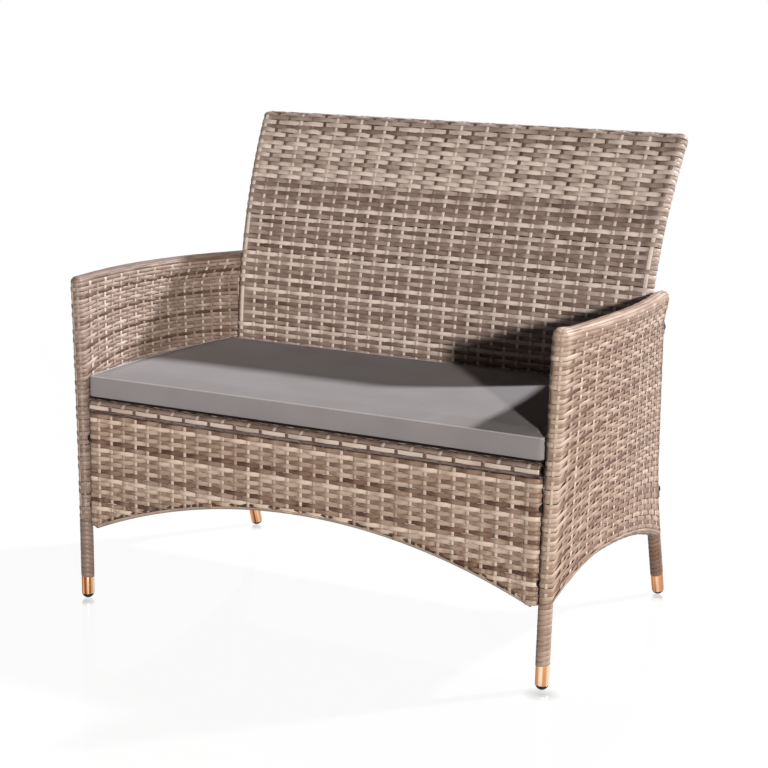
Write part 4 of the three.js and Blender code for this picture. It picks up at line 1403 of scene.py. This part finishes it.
# %% [markdown]
# The strands are extruded plastic that copies cane. A photo texture would repeat, so the colour is
# worked out from the strand's tone: brown, taupe or cream. The right arm and the apron take warmer
# shades and the back cooler ones: painted tints of the light that falls on them. The front roll is
# redder in its dark parts. So these take their own three shades.

# %% The woven plastic
CANE = [(84, 62, 53), (152, 131, 120), (222, 205, 193)]
# Copies of the cane tinted by the light: cooler for the back, warmer for the right arm and apron
# under the warm front lamp.
COOL_LIGHT_CANE = [(84, 63, 55), (152, 133, 124), (224, 209, 200)]
WARM_LIGHT_CANE = [(88, 57, 43), (154, 127, 110), (225, 205, 189)]
ROLL_CANE = [(84, 52, 42), *CANE[1:]]
# The colour that darkens each strand's edges: painted shade between strands.
GROOVE_SHADE = colour(74, 56, 48)


def woven_plastic(name, shades, shine):
    """Plastic cane: the tone picks one of three colours, edges get painted groove shade, ribs catch
    light.
    """
    made = blank(name)
    tree = made[1]
    tone = node(tree, "ShaderNodeAttribute", attribute_name="tone").outputs["Fac"]
    strand = node(tree, "ShaderNodeAttribute", attribute_name="strand").outputs["Vector"]
    cane = used_group(tree, fibres, Strand=strand, Tone=tone, Streak=0.35)
    base = ramp(tree, cane["Tone"], (0.0, 0.5, 1.0), shades)
    shaded_edges = mixed_colour(tree, maths(tree, "MULTIPLY", cane["Edge"], 0.55), base, GROOVE_SHADE)
    rough = spread(tree, cane["Height"], shine, shine + 0.2)
    return shaded(made, shaded_edges, rough, bumps(tree, 0.25, 0.0004, cane["Height"]), {"IOR": 1.45})


cane_skin = woven_plastic("woven_cane", CANE, 0.36)
cool_lit_cane = woven_plastic("cool_lit_cane", COOL_LIGHT_CANE, 0.36)
warm_lit_cane = woven_plastic("warm_lit_cane", WARM_LIGHT_CANE, 0.36)
cane_roll = woven_plastic("roll_cane", ROLL_CANE, 0.32)

# %% [markdown]
# The cover is plain grey canvas. Two crossing waves give its threads and a slow noise its soft
# creases, both as bump, because threads are far too fine to model.

# %% The cushion's fabric
def sewn_fabric(name, lit, shade):
    """Plain polyester canvas: crossing threads as bump, faint cloudy shade, a little sheen."""
    fabric = blank(name)
    tree = fabric[1]
    where = node(tree, "ShaderNodeTexCoord").outputs["Object"]
    cloud = noise(tree, where, 9.0, 4.0)
    wave = {"Vector": where, "Scale": 190.0, "Distortion": 0.6}
    threads = [node(tree, "ShaderNodeTexWave", wave, bands_direction=way) for way in "XY"]
    weave = maths(tree, "MAXIMUM", *(made.outputs["Fac"] for made in threads))
    base = ramp(tree, cloud, (0.3, 0.7), (shade, lit))
    thread = mixed_colour(tree, maths(tree, "MULTIPLY", weave, 0.18), base, colour(*lit))
    creases = bumps(tree, 0.35, 0.004, noise(tree, where, 5.0, 2.0))
    bump = bumps(tree, 0.3, 0.0002, weave, Normal=creases)
    sheen = {"Specular IOR Level": 0.0, "Sheen Weight": 0.03, "Sheen Roughness": 0.4}
    return shaded(fabric, thread, spread(tree, cloud, 0.78, 0.92), bump, sheen)


canvas = sewn_fabric("grey_canvas", (154, 150, 153), (145, 140, 142))
# The seam canvas is paler as a painted highlight along the top edge; the near-black binding is
# painted shade under the cushion.
seam_highlight_cloth = sewn_fabric("seam_highlight_canvas", (190, 186, 189), (178, 174, 177))
bottom_seam_shade = sewn_fabric("bottom_seam_shade", (38, 35, 35), (28, 26, 26))

# %% [markdown]
# The sleeves are copper plate on drawn tube and show sharp reflections. Their colour runs in bright
# and dark streaks along the leg, partly the tube's own drawn streaks and partly painted
# reflections. Bolts, glides and discs are black and satin; the tubes inside are coated brown.

# %% Metals and moulded plastic
def hard_finish(name, low, high, rough, grain, depth, specular=0.5):
    """A hard surface with two close colours, an uneven gloss and a fine grain."""
    made = blank(name)
    tree = made[1]
    fine = used_group(tree, speckle, Scale=grain)["Amount"]
    base = ramp(tree, fine, (0.3, 0.7), (low, high))
    bump = bumps(tree, 0.2, depth, fine)
    gloss = spread(tree, fine, rough, rough + 0.12)
    return shaded(made, base, gloss, bump, {"Specular IOR Level": specular})


COPPER_PLACES = (0.34, 0.47, 0.56, 0.66)
# From dark copper to near white: the pale end is painted reflection along the leg.
COPPER_AND_REFLECTIONS = [(128, 76, 42), (206, 140, 92), (240, 188, 146), (255, 236, 212)]


def drawn_copper():
    """Polished copper plate on a drawn tube: bright and dark streaks along the leg, partly its own,
    partly painted reflections.

    The noise is read on the circle round the sleeve, so that it hardly changes up the leg."""
    made = blank("drawn_copper")
    tree = made[1]
    circle = node(tree, "ShaderNodeAttribute", attribute_name="strand").outputs["Vector"]
    streaks = noise(tree, circle, 1.9, 1.5)
    base = ramp(tree, streaks, COPPER_PLACES, COPPER_AND_REFLECTIONS)
    gloss = spread(tree, streaks, 0.16, 0.3)
    return shaded(made, base, gloss, bumps(tree, 0.2, 0.00003, streaks), {"Metallic": 1.0})


BLACK_PLASTIC = ("black_moulding", (11, 10, 10), (22, 20, 19), 0.38, 420.0, 0.0002, 0.25)
BLACK_STEEL = ("black_steel", (12, 11, 11), (24, 22, 21), 0.32, 500.0, 0.0001, 0.3)
COATED_STEEL = ("brown_coated_steel", (74, 62, 54), (88, 75, 66), 0.42, 600.0, 0.0002)
FOAM = ("foam", (214, 206, 186), (228, 221, 203), 0.85, 300.0, 0.0006)
FINISH = {
    "weave": cane_skin,
    "roll_weave": cane_roll,
    "copper_sleeve": drawn_copper(),
    "black_plastic": hard_finish(*BLACK_PLASTIC),
    "black_bolt": hard_finish(*BLACK_STEEL),
    "steel_tube": hard_finish(*COATED_STEEL),
    "cushion_fabric": canvas,
    "cushion_foam": hard_finish(*FOAM),
}

# %% [markdown]
# Each new piece gets its one material. The CAD pieces that stay in the scene get the finish of
# their own slot.

# %% Dress every piece
def dress(piece, material):
    """The piece's only material."""
    piece.data.materials.clear()
    piece.data.materials.append(material)


slots = {entry["slot"] for entry in frame["record"]["materials"]}
print("slots without a finish:", sorted(slots - set(FINISH)))
for pieces, cane in (
    (arm_pieces["left"], cane_skin), (arm_pieces["right"], warm_lit_cane), (back_pieces, cool_lit_cane),
    (apron_pieces, warm_lit_cane), (deck_pieces, cane_skin), (roll_pieces, cane_roll),
):
    for piece in pieces:
        dress(piece, cane)
for piece, slot in round_pieces:
    dress(piece, FINISH[slot])
dress(cushion, canvas)
dress(seams[0], seam_highlight_cloth)
dress(seams[1], bottom_seam_shade)
for cad in frame["nodes"].values():
    given = cad.data.materials
    kinds = [slot for slot in FINISH if given and given[0].name.startswith(slot)]
    finish = FINISH[kinds[0] if kinds else "steel_tube"]
    if not given:
        given.append(finish)
    for number in range(len(given)):
        given[number] = finish

# %% [markdown]
# ## Floor, light and camera
# The sofa was photographed on white. The floor glows white towards the camera and keeps only a
# faint shadow. Two lamps light it, as their shadows on the cushion show: a strong one high behind
# on the right, and a weaker, low one in front on the right. The rest of the light is faint.

# %% The floor
FLOOR_HALF = 8.0
MIRROR_REACH = 0.032
NEAR_MIRROR = 0.4
FAR_MIRROR = 0.015
MIRROR_ROUGH = 0.04
FLOOR_GREY = (0.22, 0.22, 0.22, 1)
FLOOR_WHITE = (1, 1, 1, 1)
GLOW_SHARE = 0.95
MIRROR_SHIFT = np.array([0.008, -0.02, 0.0])
feet = [(FRONT_X, FRONT_Y, 0.0), (REAR_X, FRONT_Y + float(rear_leg_y(0.0)), 0.0)]
FEET = [tuple(np.array(foot) * (way, 1, 1) + MIRROR_SHIFT) for way in (-1, 1) for foot in feet]


def floor_finish():
    """White towards the camera, with a little real light in it so that shadows stay.

    Close to the feet it mirrors more. Other rays meet a dull grey floor, so that little light
    comes up from it."""
    material, tree, output = blank("white_floor")
    glow = node(tree, "ShaderNodeEmission", {"Color": FLOOR_WHITE, "Strength": 1.0})
    path = node(tree, "ShaderNodeLightPath").outputs
    seen = maths(tree, "MAXIMUM", path["Is Camera Ray"], path["Is Glossy Ray"])
    shade = mixed_colour(tree, seen, FLOOR_GREY, FLOOR_WHITE)
    plain = node(tree, "ShaderNodeBsdfDiffuse", {"Color": shade})
    mirror = node(tree, "ShaderNodeBsdfGlossy", {"Color": FLOOR_WHITE, "Roughness": MIRROR_ROUGH})
    here = node(tree, "ShaderNodeTexCoord").outputs["Object"]
    nearest = FLOOR_HALF
    for foot in FEET:
        apart = node(tree, "ShaderNodeVectorMath", {0: here, 1: foot}, operation="DISTANCE")
        nearest = maths(tree, "MINIMUM", apart.outputs["Value"], nearest)
    polish = spread(tree, nearest, NEAR_MIRROR, FAR_MIRROR, **{"From Max": MIRROR_REACH})
    white = node(tree, "ShaderNodeMixShader", {0: polish, 1: glow.outputs[0], 2: mirror.outputs[0]})
    share = maths(tree, "MULTIPLY", seen, GLOW_SHARE)
    mixed = node(tree, "ShaderNodeMixShader", {0: share, 1: plain.outputs[0], 2: white.outputs[0]})
    tree.links.new(mixed.outputs[0], output.inputs[0])
    return material


corners = np.array([(-1, -1, 0), (1, -1, 0), (1, 1, 0), (-1, 1, 0)]) * FLOOR_HALF - (0, 0, 0.0002)
floor = mesh_piece("floor", corners, np.array([(0, 1, 2, 3)]))
dress(floor, floor_finish())

# %% [markdown]
# A white world would light the sofa from everywhere and wash out the shadows. So the world is
# white only where it is looked at or mirrored. In mirrored light it is darker to the left and in
# front, which gives the copper its contrast. Two distant lamps do the lighting.

# %% The world and the lamps
AMBIENT = 0.02
DIM_SIDE = 0.12
DIM_TURN = 0.8
DIM_FULL = -0.9
DIM_ENDS = 0.2
world = bpy.data.worlds.new("white_room")
bpy.context.scene.world = world
world.use_nodes = True
room = world.node_tree
room.nodes.clear()
path = node(room, "ShaderNodeLightPath").outputs
seen = maths(room, "MAXIMUM", path["Is Camera Ray"], path["Is Glossy Ray"])
seen = maths(room, "MAXIMUM", seen, path["Is Transmission Ray"])
way = node(room, "ShaderNodeTexCoord").outputs["Generated"]
view = node(room, "ShaderNodeSeparateXYZ", {0: way}).outputs
across = maths(room, "MULTIPLY_ADD", view[0], DIM_TURN, view[1])
dim = spread(room, across, DIM_SIDE, 1.0, **{"From Min": DIM_FULL, "From Max": DIM_ENDS})
mirrored = maths(room, "MULTIPLY", path["Is Glossy Ray"], maths(room, "SUBTRACT", dim, 1.0))
seen = maths(room, "ADD", seen, mirrored)
strength = maths(room, "MULTIPLY_ADD", seen, 1.0 - AMBIENT, AMBIENT)
sky = node(room, "ShaderNodeBackground", {"Color": (1, 1, 1, 1), "Strength": strength})
room.links.new(sky.outputs[0], node(room, "ShaderNodeOutputWorld").inputs[0])


def sun(name, strength, tint, softness, side, behind, height):
    """A distant lamp that shines from a direction: to the right, behind and above the sofa."""
    data = bpy.data.lights.new(name, "SUN")
    data.energy = strength
    data.color = tint
    data.angle = math.radians(softness)
    lamp = bpy.data.objects.new(name, data)
    lamp.rotation_euler = Vector((side, behind, height)).to_track_quat("Z", "Y").to_euler()
    lamp.location = (side, behind, height)
    bpy.context.scene.collection.objects.link(lamp)


sun("lamp_behind_right", 4.6, (1, 1, 1), 3.5, 0.543, 0.590, 0.598)
sun("lamp_front_right", 3.2, (1, 0.95, 0.88), 3.0, 0.641, -0.735, 0.2164)

# %% [markdown]
# Place, turn and lens were fitted to the feet and outlines in the photo. The camera is rolled by
# a degree, so its axes are worked out and put in a matrix, instead of aimed at a target.

# %% The camera
CAMERA_PLACE = (1.5667, -2.9662, 1.1116)
CAMERA_TURN = math.radians(27.910)
CAMERA_DROP = math.radians(12.026)
CAMERA_ROLL = math.radians(1.051)
PIXELS = 768
FOCAL_PIXELS = 1895.486
SENSOR = 36.0


def camera_axes():
    """Right, up and backward of the camera: turned left, dropped, then rolled about its view."""
    ahead = np.array([
        -math.sin(CAMERA_TURN) * math.cos(CAMERA_DROP),
        math.cos(CAMERA_TURN) * math.cos(CAMERA_DROP),
        -math.sin(CAMERA_DROP),
    ])
    right = np.array([math.cos(CAMERA_TURN), math.sin(CAMERA_TURN), 0])
    up = np.cross(right, ahead)
    rolled = right * math.cos(CAMERA_ROLL) + up * math.sin(CAMERA_ROLL)
    return rolled, np.cross(rolled, ahead), -ahead


lens = bpy.data.cameras.new("camera")
lens.sensor_width = SENSOR
lens.lens = SENSOR * FOCAL_PIXELS / PIXELS
camera = bpy.data.objects.new("camera", lens)
bpy.context.scene.collection.objects.link(camera)
turn = Matrix([list(row) for row in zip(*camera_axes())]).to_4x4()
camera.matrix_world = Matrix.Translation(CAMERA_PLACE) @ turn
bpy.context.scene.camera = camera
bpy.context.scene.view_settings.view_transform = "Standard"
